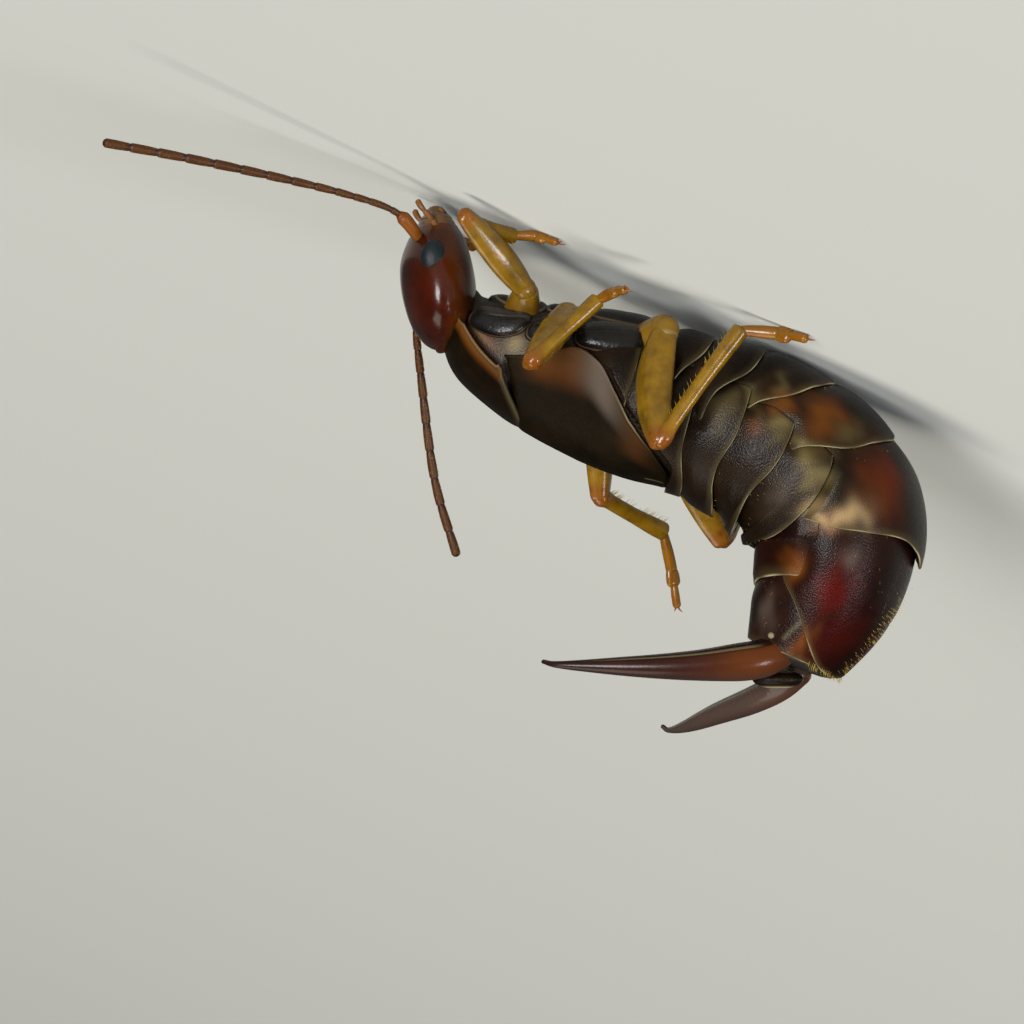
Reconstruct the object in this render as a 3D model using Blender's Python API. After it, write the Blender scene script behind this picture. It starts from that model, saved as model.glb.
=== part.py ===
"""A female earwig at life size, standing with its abdomen curled up over its back.

Frame: +X towards the head, +Y to the animal's left, +Z up, the floor at z = 0.
Sizes are in millimetres until the last function moves the middle of the animal to the origin
and turns every mesh to metres.
"""

import math

import bmesh
import bpy
import numpy as np
from mathutils import Matrix, Vector

# Driving dimensions, in millimetres
MM = 0.001
GAP = 0.06  # the thin cut between neighbouring pieces
MIDDLE = Vector((0.70, 0.18, 0.0))  # middle of the animal's outline on the floor, in the sizes below
BODY_SIDES = 24
LIMB_SIDES = 8
ROUNDING = 0.92  # exponent of the trunk's rounded cross-section

# The trunk's spine from the neck to the forceps: x, y, z of the centre, half width,
# reach upwards, reach downwards, and the twist in degrees that turns the belly to the right
SPINE = np.array(
    [
        (1.62, 0.00, 1.42, 0.60, 0.62, 0.42, 0),
        (0.95, 0.00, 1.66, 0.95, 0.88, 0.76, 0),
        (0.10, 0.00, 1.76, 1.18, 1.05, 1.00, 0),
        (-0.75, 0.00, 1.69, 1.32, 1.20, 1.18, 0),
        (-1.50, 0.00, 1.60, 1.34, 1.25, 1.22, 0),
        (-2.20, 0.00, 1.50, 1.30, 1.23, 1.22, 3),
        (-2.92, 0.00, 1.43, 1.38, 1.30, 1.30, 8),
        (-3.68, 0.00, 1.43, 1.46, 1.34, 1.31, 14),
        (-4.50, 0.02, 1.72, 1.46, 1.34, 1.38, 20),
        (-5.10, 0.05, 2.38, 1.36, 1.26, 1.34, 26),
        (-5.25, 0.12, 3.30, 1.10, 1.04, 1.08, 30),
        (-5.25, 0.22, 4.34, 0.82, 0.70, 0.70, 32),
    ]
)
# Where each segment ends, as a row number of the spine counted with fractions
CUTS = {
    "prothorax": 0.14,
    "mesothorax": 2.05,
    "metathorax": 3.10,
    "abdomen_3": 4.35,
    "abdomen_4": 5.15,
    "abdomen_5": 6.05,
    "abdomen_6": 7.10,
    "abdomen_7": 8.10,
    "abdomen_tip": 9.70,
    "end": 11.0,
}
STEP_IN = 0.055  # a ring's front edge is this share narrower than its hind edge
STEP_CURVE = 1.5  # how fast a ring widens behind its front edge
ROW_STEP = 0.02  # rows to either side that give the direction of the spine
TIP_SPLIT = -0.22  # height of the seam between last tergite and last sternite, as a share of depth

# The shields on the back: spine row, half width, drop from the middle to the side edge
PRONOTUM = np.array(
    [
        (0.02, 0.80, 0.30),
        (0.25, 0.98, 0.40),
        (1.10, 1.14, 0.50),
        (1.75, 1.16, 0.50),
        (2.00, 1.05, 0.45),
    ]
)
TEGMINA = np.array(
    [
        (2.10, 1.16, 0.98),
        (2.60, 1.28, 1.02),
        (3.20, 1.34, 0.98),
        (3.80, 1.26, 0.72),
        (4.50, 1.00, 0.42),
        (5.05, 0.62, 0.18),
        (5.30, 0.30, 0.05),
    ]
)
SHIELD_LAP = 0.05  # rows that a shield still covers behind its last row
SHIELD_THICK = 0.40
SHIELD_EDGE = 0.45  # share of the thickness that is left at a shield's side edge
SHIELD_BEND = 2.2  # exponent of the drop: larger is flatter in the middle

# The head hangs down: its centre, and rows of distance towards the mouth, half width, up, down
HEAD_CENTRE = Vector((2.21, 0.0, 1.27))
HEAD_FORWARD = Vector((0.44, 0.0, -0.898))
HEAD = np.array(
    [
        (-1.08, 0.50, 0.24, 0.22),
        (-0.98, 0.76, 0.40, 0.36),
        (-0.62, 1.02, 0.56, 0.52),
        (-0.10, 1.08, 0.61, 0.57),
        (0.35, 1.00, 0.58, 0.54),
        (0.70, 0.76, 0.46, 0.45),
        (0.88, 0.58, 0.34, 0.36),
    ]
)
NECK = np.array([(1.30, 0.0, 1.50, 0.50), (2.10, 0.0, 1.36, 0.50)])  # x, y, z and radius at both ends
MOUTH = np.array([(0.94, 0.54, 0.30, 0.30), (1.05, 0.46, 0.26, 0.27), (1.16, 0.26, 0.16, 0.16)])
EYE_PLACE = Vector((0.34, 0.90, 0.10))  # towards the mouth, sideways, up
EYE_SIZE = Vector((0.25, 0.17, 0.21))
EYE_AROUND, EYE_RINGS = 14, 8

# Feelers: points from the root outwards, with the radius at each
ANTENNA_RIGHT = np.array(
    [
        (2.72, -0.48, 0.80, 0.21),
        (3.27, -0.86, 0.60, 0.21),
        (4.10, -1.12, 0.70, 0.19),
        (5.35, -1.45, 0.98, 0.19),
        (6.60, -1.78, 1.30, 0.18),
        (7.80, -2.05, 1.63, 0.12),
    ]
)
ANTENNA_LEFT = np.array(
    [
        (2.72, 0.48, 0.82, 0.21),
        (2.66, 1.10, 1.02, 0.21),
        (2.36, 1.58, 1.66, 0.19),
        (1.92, 1.95, 2.40, 0.19),
        (1.05, 2.45, 3.77, 0.18),
        (0.24, 2.78, 4.70, 0.12),
    ]
)
FEELER_CUTS = (1.05, 2.90, 2.93)  # rows where the inner part starts and ends and the outer part starts
PALP = np.array([(2.45, 0.42, 0.62, 0.17), (2.72, 0.56, 0.44, 0.16), (2.95, 0.60, 0.33, 0.12)])

# Forceps: points from the root to the tip, with the radius at each
FORCEPS_RIGHT = np.array(
    [
        (-4.96, -0.23, 4.40, 0.30),
        (-4.72, -0.38, 4.66, 0.31),
        (-4.10, -0.48, 5.03, 0.25),
        (-3.39, -0.50, 5.38, 0.20),
        (-2.50, -0.42, 5.76, 0.15),
        (-1.90, -0.30, 5.99, 0.10),
        (-1.68, -0.14, 6.02, 0.05),
    ]
)
FORCEPS_LEFT = np.array(
    [
        (-5.52, 0.67, 4.40, 0.30),
        (-5.36, 0.92, 4.70, 0.31),
        (-4.98, 1.38, 5.05, 0.25),
        (-4.55, 2.05, 5.40, 0.20),
        (-4.20, 2.75, 5.70, 0.15),
        (-3.98, 3.26, 5.82, 0.10),
        (-3.86, 3.36, 5.80, 0.05),
    ]
)
PYGIDIUM = np.array([(-5.25, 0.22, 4.45, 0.22), (-5.26, 0.26, 4.66, 0.30), (-5.22, 0.30, 4.84, 0.22)])

# Legs: hip inside the thorax, trochanter, knee, ankle, middle of the foot, toe
LEGS = {
    "leg_right_front": [
        (0.85, -0.45, 1.20),
        (0.90, -0.95, 0.91),
        (2.25, -1.74, 0.34),
        (1.45, -1.05, 0.26),
        (1.15, -1.15, 0.13),
        (0.80, -1.30, 0.09),
    ],
    "leg_right_middle": [
        (0.05, -0.55, 1.20),
        (0.20, -1.08, 1.00),
        (0.38, -2.50, 2.10),
        (-0.157, -2.30, 0.793),
        (-0.312, -2.58, 0.637),
        (-0.479, -2.90, 0.55),
    ],
    "leg_right_hind": [
        (-1.15, -0.60, 0.90),
        (-1.30, -1.34, 0.60),
        (-1.93, -2.20, 2.38),
        (-2.37, -2.30, 0.34),
        (-2.93, -2.46, 0.20),
        (-3.32, -2.76, 0.09),
    ],
    "leg_left_front": [
        (0.95, 0.45, 1.20),
        (0.95, 1.02, 0.92),
        (1.95, 2.05, 1.75),
        (2.35, 2.50, 0.46),
        (2.22, 2.72, 0.15),
        (2.00, 3.00, 0.09),
    ],
    "leg_left_middle": [
        (-0.30, 0.60, 1.20),
        (-0.40, 1.45, 0.95),
        (-1.45, 1.98, 3.00),
        (-2.60, 2.86, 3.00),
        (-2.95, 3.02, 3.45),
        (-3.28, 3.16, 3.95),
    ],
    "leg_left_hind": [
        (-1.25, 0.60, 0.90),
        (-1.65, 1.52, 0.95),
        (-3.50, 1.98, 2.85),
        (-3.95, 2.60, 0.50),
        (-4.40, 2.80, 0.22),
        (-4.88, 2.98, 0.09),
    ],
}
LEG_RADII = {
    "front": {"coxa": (0.34, 0.27), "femur": 0.25, "tibia": (0.22, 0.20), "tarsus": (0.19, 0.12)},
    "middle": {"coxa": (0.38, 0.29), "femur": 0.27, "tibia": (0.23, 0.20), "tarsus": (0.19, 0.12)},
    "hind": {"coxa": (0.42, 0.31), "femur": 0.30, "tibia": (0.24, 0.20), "tarsus": (0.19, 0.12)},
}
FEMUR_ENDS = 0.80  # share of its greatest thickness that a thigh keeps at its ends
FEMUR_FORWARD = 0.7  # exponent that moves the thickest place towards the body

DOME_RING = 0.6  # size of the ring in a limb's rounded end, as a share of the limb's radius
SIDEWAYS_LIMIT = 0.2  # a limb whose direction is closer to sideways than this starts from another normal
SHELL_LIMIT = 2.0  # largest stretch of a corner when a cutter is swollen

# Colours as linear red, green, blue, with roughness
FINISHES = {
    "head": ((0.075, 0.010, 0.006), 0.25),
    "eye": ((0.010, 0.014, 0.022), 0.20),
    "feeler": ((0.110, 0.040, 0.014), 0.45),
    "pronotum": ((0.070, 0.030, 0.010), 0.35),
    "thorax": ((0.018, 0.013, 0.012), 0.25),
    "tegmen": ((0.045, 0.020, 0.011), 0.35),
    "abdomen": ((0.055, 0.022, 0.010), 0.35),
    "tip": ((0.070, 0.009, 0.006), 0.28),
    "forceps": ((0.085, 0.026, 0.014), 0.30),
    "leg": ((0.330, 0.160, 0.025), 0.35),
}


# Each piece's mesh before anything is cut from it, from which cutters are made
WHOLE_MESHES = {}


def clear_scene():
    """Removes what a new file holds."""
    for item in list(bpy.data.objects):
        bpy.data.objects.remove(item, do_unlink=True)


def finish_material(name):
    """One Principled material for a finish."""
    material = bpy.data.materials.get(name)
    if material is None:
        colour, roughness = FINISHES[name]
        material = bpy.data.materials.new(name)
        material.use_nodes = True
        shader = material.node_tree.nodes["Principled BSDF"]
        shader.inputs["Base Color"].default_value = (*colour, 1.0)
        shader.inputs["Roughness"].default_value = roughness
        shader.inputs["Metallic"].default_value = 0.0
    return material


def object_from_rings(name, rings, finish):
    """Joins equal rings of points into one closed body with flat ends."""
    count = len(rings[0])
    mesh_builder = bmesh.new()
    rows = [[mesh_builder.verts.new(point) for point in ring] for ring in rings]
    for lower, upper in zip(rows, rows[1:]):
        for i in range(count):
            j = (i + 1) % count
            mesh_builder.faces.new((lower[i], lower[j], upper[j], upper[i]))
    mesh_builder.faces.new(reversed(rows[0]))
    mesh_builder.faces.new(rows[-1])
    bmesh.ops.recalc_face_normals(mesh_builder, faces=mesh_builder.faces)
    bmesh.ops.triangulate(mesh_builder, faces=mesh_builder.faces)
    mesh = bpy.data.meshes.new(name)
    mesh_builder.to_mesh(mesh)
    mesh_builder.free()
    mesh.materials.append(finish_material(finish))
    mesh.shade_smooth()
    thing = bpy.data.objects.new(name, mesh)
    bpy.context.scene.collection.objects.link(thing)
    WHOLE_MESHES[name] = mesh.copy()
    return thing


def smooth_rows(table, at):
    """Values of a table at fractional row numbers, on a Catmull-Rom curve through its rows."""
    at = np.clip(np.atleast_1d(np.asarray(at, float)), 0, len(table) - 1)
    padded = np.vstack([2 * table[0] - table[1], table, 2 * table[-1] - table[-2]])
    first = np.minimum(at.astype(int), len(table) - 2)
    t = (at - first)[:, None]
    a, b, c, d = (padded[first + k] for k in range(4))
    return 0.5 * (2 * b + (c - a) * t + (2 * a - 5 * b + 4 * c - d) * t**2 + (3 * b - 3 * c + d - a) * t**3)


def trunk_frame(at):
    """Centre, direction to the tail, left and dorsal directions, and sizes of the trunk at a row."""
    here, ahead, behind = smooth_rows(SPINE, [at, at + ROW_STEP, at - ROW_STEP])
    along = ahead[:3] - behind[:3]
    along /= np.linalg.norm(along)
    left = np.array((0.0, 1.0, 0.0)) - along[1] * along
    left /= np.linalg.norm(left)
    dorsal = np.cross(left, along)
    twist = math.radians(here[6])
    turned_left = math.cos(twist) * left - math.sin(twist) * dorsal
    turned_dorsal = math.cos(twist) * dorsal + math.sin(twist) * left
    return here[:3], along, turned_left, turned_dorsal, here[3:6]


def trunk_profile(at, share=1.0):
    """Rounded cross-section of the trunk at a row, as sideways and upward offsets."""
    half_width, up, down = trunk_frame(at)[4] * share
    angle = np.arange(BODY_SIDES) * 2 * math.pi / BODY_SIDES
    side = np.sign(np.sin(angle)) * np.abs(np.sin(angle)) ** ROUNDING * half_width
    height = np.sign(np.cos(angle)) * np.abs(np.cos(angle)) ** ROUNDING
    return side, height * np.where(height > 0, up, down)


def shield_size(at):
    """Half width and drop of the shield that covers the back at a row, or None past the shields."""
    for shield in (PRONOTUM, TEGMINA):
        if at <= shield[-1, 0] + SHIELD_LAP:
            return [np.interp(at, shield[:, 0], shield[:, k]) for k in (1, 2)]
    return None


def shield_height(at, side, depth):
    """Height of a shield's surface at a sideways offset, with depth 0 outside and 1 inside."""
    half_width, drop = shield_size(at)
    reach = np.clip(np.abs(side) / half_width, 0, 1)
    outer = trunk_frame(at)[4][1] - drop * reach**SHIELD_BEND
    thickness = SHIELD_THICK * (1 - (1 - SHIELD_EDGE) * reach**2)
    return outer - depth * thickness


def place_ring(at, side, height, shift=0.0):
    """Turns offsets at a row into points, moved along the spine by a shift."""
    centre, along, left, dorsal, _ = trunk_frame(at)
    middle = centre + shift * along
    return middle + np.outer(side, left) + np.outer(height, dorsal)


def trunk_piece(name, start, end, finish, limit=None, steps=6):
    """One segment of the trunk, cut thinly from its neighbours, its front edge drawn in."""
    rings = []
    rows = np.linspace(start, end, steps)
    for k, at in enumerate(rows):
        portion = k / (steps - 1)
        swell = 1 - STEP_IN * (1 - portion) ** STEP_CURVE
        side, height = trunk_profile(at, swell)
        if shield_size(at) is not None and limit is None:
            height = np.minimum(height, shield_height(at, side, 1.0) - GAP)
        if limit is not None:
            height = limit(at, height)
        shift = (0.5 * GAP if k == 0 else 0.0) - (0.5 * GAP if k == steps - 1 else 0.0)
        rings.append(place_ring(at, side, height, shift))
    return object_from_rings(name, rings, finish)


def tip_limit(above):
    """Keeps the part of the last segment above or below its side seam."""

    def limit(at, height):
        seam = TIP_SPLIT * trunk_frame(at)[4][2]
        if above:
            return np.maximum(height, seam + 0.5 * GAP)
        return np.minimum(height, seam - 0.5 * GAP)

    return limit


def shield_piece(name, table, finish, low, high, steps=9, across=9):
    """A shield or one of a pair of shields on the back, between two shares of its half width."""
    rings = []
    for at in np.linspace(table[0, 0], table[-1, 0], steps):
        half_width = shield_size(at)[0]
        if low * high < 0:
            side = np.linspace(low, high, across) * half_width
        else:
            inner = math.copysign(0.5 * GAP, low + high)
            side = np.sort(np.linspace(inner, math.copysign(half_width, inner), across))
        top = shield_height(at, side, 0.0)
        bottom = shield_height(at, side, 1.0)
        rings.append(place_ring(at, np.append(side, side[::-1]), np.append(top, bottom[::-1])))
    return object_from_rings(name, rings, finish)


def head_axes():
    """The head's directions: towards the mouth, to the left, and up from its face."""
    forward = HEAD_FORWARD.normalized()
    left = Vector((0.0, 1.0, 0.0))
    return forward, left, forward.cross(left)


def head_point(forward_share, side, up):
    """A point in the head's own directions."""
    forward, left, dorsal = head_axes()
    return HEAD_CENTRE + forward * forward_share + left * side + dorsal * up


def head_piece(name, table, finish, steps):
    """The head capsule or the mouth, as rounded rings along the head's axis."""
    rings = []
    angle = np.arange(BODY_SIDES) * 2 * math.pi / BODY_SIDES
    for row in smooth_rows(table, np.linspace(0, len(table) - 1, steps)):
        distance, half_width, up, down = row
        side = np.sin(angle) * half_width
        height = np.cos(angle) * np.where(np.cos(angle) > 0, up, down)
        rings.append([head_point(distance, a, b) for a, b in zip(side, height)])
    return object_from_rings(name, rings, finish)


def eye_piece(name, side_sign):
    """A compound eye, an ellipsoid set into the side of the head."""
    bulb = bmesh.new()
    bmesh.ops.create_uvsphere(bulb, u_segments=EYE_AROUND, v_segments=EYE_RINGS, radius=1.0)
    for vert in bulb.verts:
        a, b, c = vert.co.x * EYE_SIZE.x, vert.co.y * EYE_SIZE.y, vert.co.z * EYE_SIZE.z
        vert.co = head_point(EYE_PLACE.x + a, side_sign * EYE_PLACE.y + b, EYE_PLACE.z + c)
    bmesh.ops.recalc_face_normals(bulb, faces=bulb.faces)
    bmesh.ops.triangulate(bulb, faces=bulb.faces)
    mesh = bpy.data.meshes.new(name)
    bulb.to_mesh(mesh)
    bulb.free()
    mesh.materials.append(finish_material("eye"))
    mesh.shade_smooth()
    thing = bpy.data.objects.new(name, mesh)
    bpy.context.scene.collection.objects.link(thing)
    return thing


def path_rows(points, start, end, steps):
    """Points and radii along a smooth curve through rows of x, y, z and radius."""
    return smooth_rows(np.asarray(points, float), np.linspace(start, end, steps))


def tube_piece(name, rows, finish, sides=LIMB_SIDES, dome=(0.35, 0.35), flat_sole=False):
    """A limb along rows of x, y, z, radius, with rounded ends; a foot's underside is flat at z = 0."""
    centres, radii = rows[:, :3], rows[:, 3]
    along = np.gradient(centres, axis=0)
    along /= np.linalg.norm(along, axis=1)[:, None]
    normal = np.cross(along[0], (0.0, 1.0, 0.0))
    if np.linalg.norm(normal) < SIDEWAYS_LIMIT:
        normal = np.cross(along[0], (1.0, 0.0, 0.0))
    ring_list = []
    angle = np.arange(sides) * 2 * math.pi / sides
    for k, (centre, direction, radius) in enumerate(zip(centres, along, radii)):
        normal = normal - np.dot(normal, direction) * direction
        normal /= np.linalg.norm(normal)
        side = np.cross(direction, normal)
        spread = np.outer(np.cos(angle), normal) + np.outer(np.sin(angle), side)
        end_ring = spread * radius * DOME_RING
        if k == 0 and dome[0] > 0:
            ring_list.append(centre - direction * radius * dome[0] + end_ring)
        ring_list.append(centre + spread * radius)
        if k == len(centres) - 1 and dome[1] > 0:
            ring_list.append(centre + direction * radius * dome[1] + end_ring)
    if flat_sole:
        for ring in ring_list:
            ring[:, 2] = np.maximum(ring[:, 2], 0.0)
    return object_from_rings(name, ring_list, finish)


def grown_copy(neighbour, gap):
    """A hidden copy of a piece as it was before any cut, swollen by the gap along its normals."""
    cutter = bpy.data.objects.new("cutter", WHOLE_MESHES[neighbour.name].copy())
    cutter.hide_render = True
    cutter.display_type = "WIRE"
    bpy.context.scene.collection.objects.link(cutter)
    grown = bmesh.new()
    grown.from_mesh(cutter.data)
    grown.normal_update()
    moves = [vert.normal * gap * min(vert.calc_shell_factor(), SHELL_LIMIT) for vert in grown.verts]
    for vert, move in zip(grown.verts, moves):
        vert.co += move
    grown.to_mesh(cutter.data)
    grown.free()
    return cutter


def corners(mesh):
    """Lowest and highest corner of a mesh, or None when nothing is left of it."""
    if not len(mesh.vertices):
        return None
    points = np.array([vert.co for vert in mesh.vertices])
    return points.min(axis=0), points.max(axis=0)


def boolean_result(thing, cutter, solver):
    """The mesh of a piece after one Boolean cut."""
    cut = thing.modifiers.new("cut", "BOOLEAN")
    cut.operation = "DIFFERENCE"
    cut.solver = solver
    cut.object = cutter
    bpy.context.view_layer.update()
    evaluated = thing.evaluated_get(bpy.context.evaluated_depsgraph_get())
    result = bpy.data.meshes.new_from_object(evaluated)
    thing.modifiers.remove(cut)
    return result


def cut_clear(thing, neighbours, gap=GAP):
    """Cuts a piece back from its neighbours by a thin gap and keeps its largest closed surface."""
    for neighbour in neighbours:
        cutter = grown_copy(neighbour, gap)
        low, high = corners(thing.data)
        for solver in ("EXACT", "MANIFOLD"):
            result = boolean_result(thing, cutter, solver)
            reach = corners(result)
            if reach is not None and (reach[0] > low - gap).all() and (reach[1] < high + gap).all():
                break
        else:
            raise ValueError(f"no cut of {thing.name} by {neighbour.name} worked")
        thing.data = result
        bpy.data.objects.remove(cutter, do_unlink=True)
    keep_largest(thing)
    return thing


def keep_largest(thing):
    """Leaves only the closed surface that holds the most volume."""
    whole = bmesh.new()
    whole.from_mesh(thing.data)
    bmesh.ops.triangulate(whole, faces=whole.faces)
    unseen = set(whole.verts)
    groups = []
    while unseen:
        stack = [unseen.pop()]
        group = set(stack)
        while stack:
            for edge in stack.pop().link_edges:
                for vert in edge.verts:
                    if vert in unseen:
                        unseen.discard(vert)
                        group.add(vert)
                        stack.append(vert)
        groups.append(group)

    def spread(group):
        points = np.array([vert.co for vert in group])
        return float(np.prod(np.ptp(points, axis=0) + 1e-6))

    largest = max(groups, key=spread)
    loose = [vert for vert in whole.verts if vert not in largest]
    bmesh.ops.delete(whole, geom=loose, context="VERTS")
    whole.to_mesh(thing.data)
    whole.free()


def make_trunk():
    """Thorax and abdomen rings under the shields, and the two halves of the last segment."""
    names = list(CUTS)
    pieces = {}
    for name, following in zip(names[:-2], names[1:-1]):
        finish = "thorax" if name.endswith("thorax") else "abdomen"
        if name == "abdomen_7":
            finish = "tip"
        pieces[name] = trunk_piece(name, CUTS[name], CUTS[following], finish)
    start, end = CUTS["abdomen_tip"], CUTS["end"]
    pieces["last_tergite"] = trunk_piece("last_tergite", start, end, "tip", tip_limit(True))
    pieces["last_sternite"] = trunk_piece("last_sternite", start, end, "tip", tip_limit(False))
    return pieces


def make_shields(head):
    """The pronotum and the pair of short fore wings."""
    pronotum = shield_piece("pronotum", PRONOTUM, "pronotum", -1.0, 1.0, steps=8, across=13)
    cut_clear(pronotum, [head])
    shield_piece("tegmen_right", TEGMINA, "tegmen", -1.0, 0.0)
    shield_piece("tegmen_left", TEGMINA, "tegmen", 0.0, 1.0)


def make_head(prothorax):
    """Head capsule, eyes, mouth, feelers and the neck."""
    head = head_piece("head", HEAD, "head", 12)
    cut_clear(prothorax, [head])
    mouth = head_piece("mouthparts", MOUTH, "head", 4)
    inner_start, inner_end, outer_start = FEELER_CUTS
    for side_name, sign, rows in (("right", -1, ANTENNA_RIGHT), ("left", 1, ANTENNA_LEFT)):
        cut_clear(eye_piece("eye_" + side_name, sign), [head])
        scape = tube_piece("antenna_" + side_name + "_scape", path_rows(rows, 0, 1, 3), "feeler")
        cut_clear(scape, [head])
        inner_rows = path_rows(rows, inner_start, inner_end, 8)
        inner = tube_piece("antenna_" + side_name + "_inner", inner_rows, "feeler")
        cut_clear(inner, [scape])
        outer_rows = path_rows(rows, outer_start, 5, 9)
        outer = tube_piece("antenna_" + side_name + "_outer", outer_rows, "feeler")
        cut_clear(outer, [inner])
        palp_rows = PALP * np.array((1, sign, 1, 1))
        palp = tube_piece("palp_" + side_name, path_rows(palp_rows, 0, 2, 5), "feeler")
        cut_clear(palp, [head, mouth])
    neck = tube_piece("neck", NECK, "thorax", sides=12, dome=(0, 0))
    cut_clear(neck, [head, prothorax])
    return head


def make_forceps(trunk):
    """Both branches of the forceps and the pygidium between them."""
    roots = [trunk["last_tergite"], trunk["last_sternite"]]
    branches = []
    for side_name, rows in (("right", FORCEPS_RIGHT), ("left", FORCEPS_LEFT)):
        blade_rows = path_rows(rows, 0, 6, 15)
        branch = tube_piece("forceps_" + side_name, blade_rows, "forceps", sides=10, dome=(0.8, 0.5))
        branches.append(cut_clear(branch, roots))
    pygidium = tube_piece("pygidium", path_rows(PYGIDIUM, 0, 2, 4), "tip", sides=10, dome=(0.8, 0.4))
    cut_clear(pygidium, roots + branches)


def femur_rows(hip, knee, thickest, steps=7):
    """A thigh that is thickest a third of the way down, as rows of x, y, z and radius."""
    share = np.linspace(0, 1, steps)
    centres = hip + (knee - hip) * share[:, None]
    swell = FEMUR_ENDS + (1 - FEMUR_ENDS) * np.sin(math.pi * share**FEMUR_FORWARD)
    return np.column_stack([centres, thickest * swell])


def make_leg(name, joints, trunk_pieces):
    """One leg of four pieces, each cut thinly from the piece that carries it."""
    hip, trochanter, knee, ankle, middle, toe = (np.array(joint) for joint in joints)
    sizes = LEG_RADII[name.split("_")[-1]]
    coxa_rows = np.array([(*hip, sizes["coxa"][0]), (*trochanter, sizes["coxa"][1])])
    coxa = tube_piece(name + "_coxa", path_rows(coxa_rows, 0, 1, 4), "leg")
    cut_clear(coxa, trunk_pieces)
    femur = tube_piece(name + "_femur", femur_rows(trochanter, knee, sizes["femur"]), "leg")
    cut_clear(femur, [coxa])
    tibia_rows = np.array([(*knee, sizes["tibia"][0]), (*ankle, sizes["tibia"][1])])
    tibia = tube_piece(name + "_tibia", path_rows(tibia_rows, 0, 1, 6), "leg", dome=(0.35, 0.2))
    cut_clear(tibia, [femur])
    thick, thin = sizes["tarsus"]
    tarsus_rows = np.array([(*ankle, thick), (*middle, 0.5 * (thick + thin)), (*toe, thin)])
    tarsus = tube_piece(name + "_tarsus", path_rows(tarsus_rows, 0, 2, 7), "leg", flat_sole=True)
    cut_clear(tarsus, [tibia])


def to_metres():
    """Moves the animal's middle to the origin and turns every mesh from millimetres to metres."""
    for mesh in WHOLE_MESHES.values():
        bpy.data.meshes.remove(mesh)
    for thing in bpy.data.objects:
        thing.data.transform(Matrix.Scale(MM, 4) @ Matrix.Translation(-MIDDLE))


def main():
    clear_scene()
    trunk = make_trunk()
    head = make_head(trunk["prothorax"])
    make_shields(head)
    make_forceps(trunk)
    thorax = [trunk[name] for name in ("prothorax", "mesothorax", "metathorax", "abdomen_3")]
    for name, joints in LEGS.items():
        make_leg(name, joints, thorax)
    to_metres()


main()
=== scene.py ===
# %% [markdown]
# # A female earwig at life size
# The real animal is a common earwig, some 15 mm long: a brown insect in hard plates, with two short
# leathery fore wings and a pair of forceps on its tail. It could be sculpted by hand, but its parts
# follow simple rules, so each one here is a surface worked out with numpy in millimetres and laid round
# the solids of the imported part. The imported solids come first, because every piece takes its place there.

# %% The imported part
import math

import bpy
import numpy as np
from mathutils import Matrix, Vector


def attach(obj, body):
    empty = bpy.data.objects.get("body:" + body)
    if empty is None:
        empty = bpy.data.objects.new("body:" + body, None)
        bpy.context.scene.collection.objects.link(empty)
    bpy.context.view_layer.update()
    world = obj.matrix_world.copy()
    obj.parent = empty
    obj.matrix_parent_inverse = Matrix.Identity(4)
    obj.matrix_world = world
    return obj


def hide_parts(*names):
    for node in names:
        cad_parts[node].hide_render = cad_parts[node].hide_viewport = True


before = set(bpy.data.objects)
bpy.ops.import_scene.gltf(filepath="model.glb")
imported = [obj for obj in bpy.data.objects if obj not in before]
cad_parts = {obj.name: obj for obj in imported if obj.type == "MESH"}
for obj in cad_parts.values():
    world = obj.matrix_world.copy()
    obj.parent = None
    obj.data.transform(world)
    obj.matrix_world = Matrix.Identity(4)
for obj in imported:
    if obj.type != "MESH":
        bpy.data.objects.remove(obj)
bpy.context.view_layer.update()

# %% [markdown]
# ## One place for everything
# All sizes below are in millimetres, as one would measure the insect. X points to the head, Y to the
# animal's left and Z up from the floor. One function at the very end of each piece moves it to the
# part's own origin and turns it to metres, so that no piece needs a location, turn or scale of its own.
# A few small curves are used everywhere: a smooth step, a bell, a soft line and a curve through a table.

# %% Millimetres to the frame's metres
MM = 0.001
MIDDLE = np.array((0.70, 0.18, 0.0))  # the middle of the animal's outline on the floor
SIDES = (("right", -1), ("left", 1))
UPWARD = np.array((0.0, 0.0, 1.0))


def to_frame(points):
    """Place in metres: (place in millimetres - middle) * 0.001."""
    return (np.asarray(points, float) - MIDDLE) * MM


# %% Small curves


def rows_at(table, at):
    """Values of a table at fractional row numbers, on the Catmull-Rom curve through its rows:
    half of 2b + (c - a)t + (2a - 5b + 4c - d)t^2 + (3b - 3c + d - a)t^3 for neighbours a, b, c, d."""
    table = np.asarray(table, float)
    at = np.clip(np.asarray(at, float).ravel(), 0, len(table) - 1)
    padded = np.vstack([2 * table[0] - table[1], table, 2 * table[-1] - table[-2]])
    first = np.minimum(at.astype(int), len(table) - 2)
    t = (at - first)[:, None]
    a, b, c, d = (padded[first + k] for k in range(4))
    return 0.5 * (2 * b + (c - a) * t + (2 * a - 5 * b + 4 * c - d) * t**2 + (3 * b - 3 * c + d - a) * t**3)


def ease(low, high, x):
    """A smooth step: 0 below low, 1 above high, 3s^2 - 2s^3 between them."""
    s = np.clip((x - low) / (high - low), 0, 1)
    return s * s * (3 - 2 * s)


def bell(x, middle, spread):
    """exp(-((x - middle) / spread)^2)."""
    return np.exp(-(((x - middle) / spread) ** 2))


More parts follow.
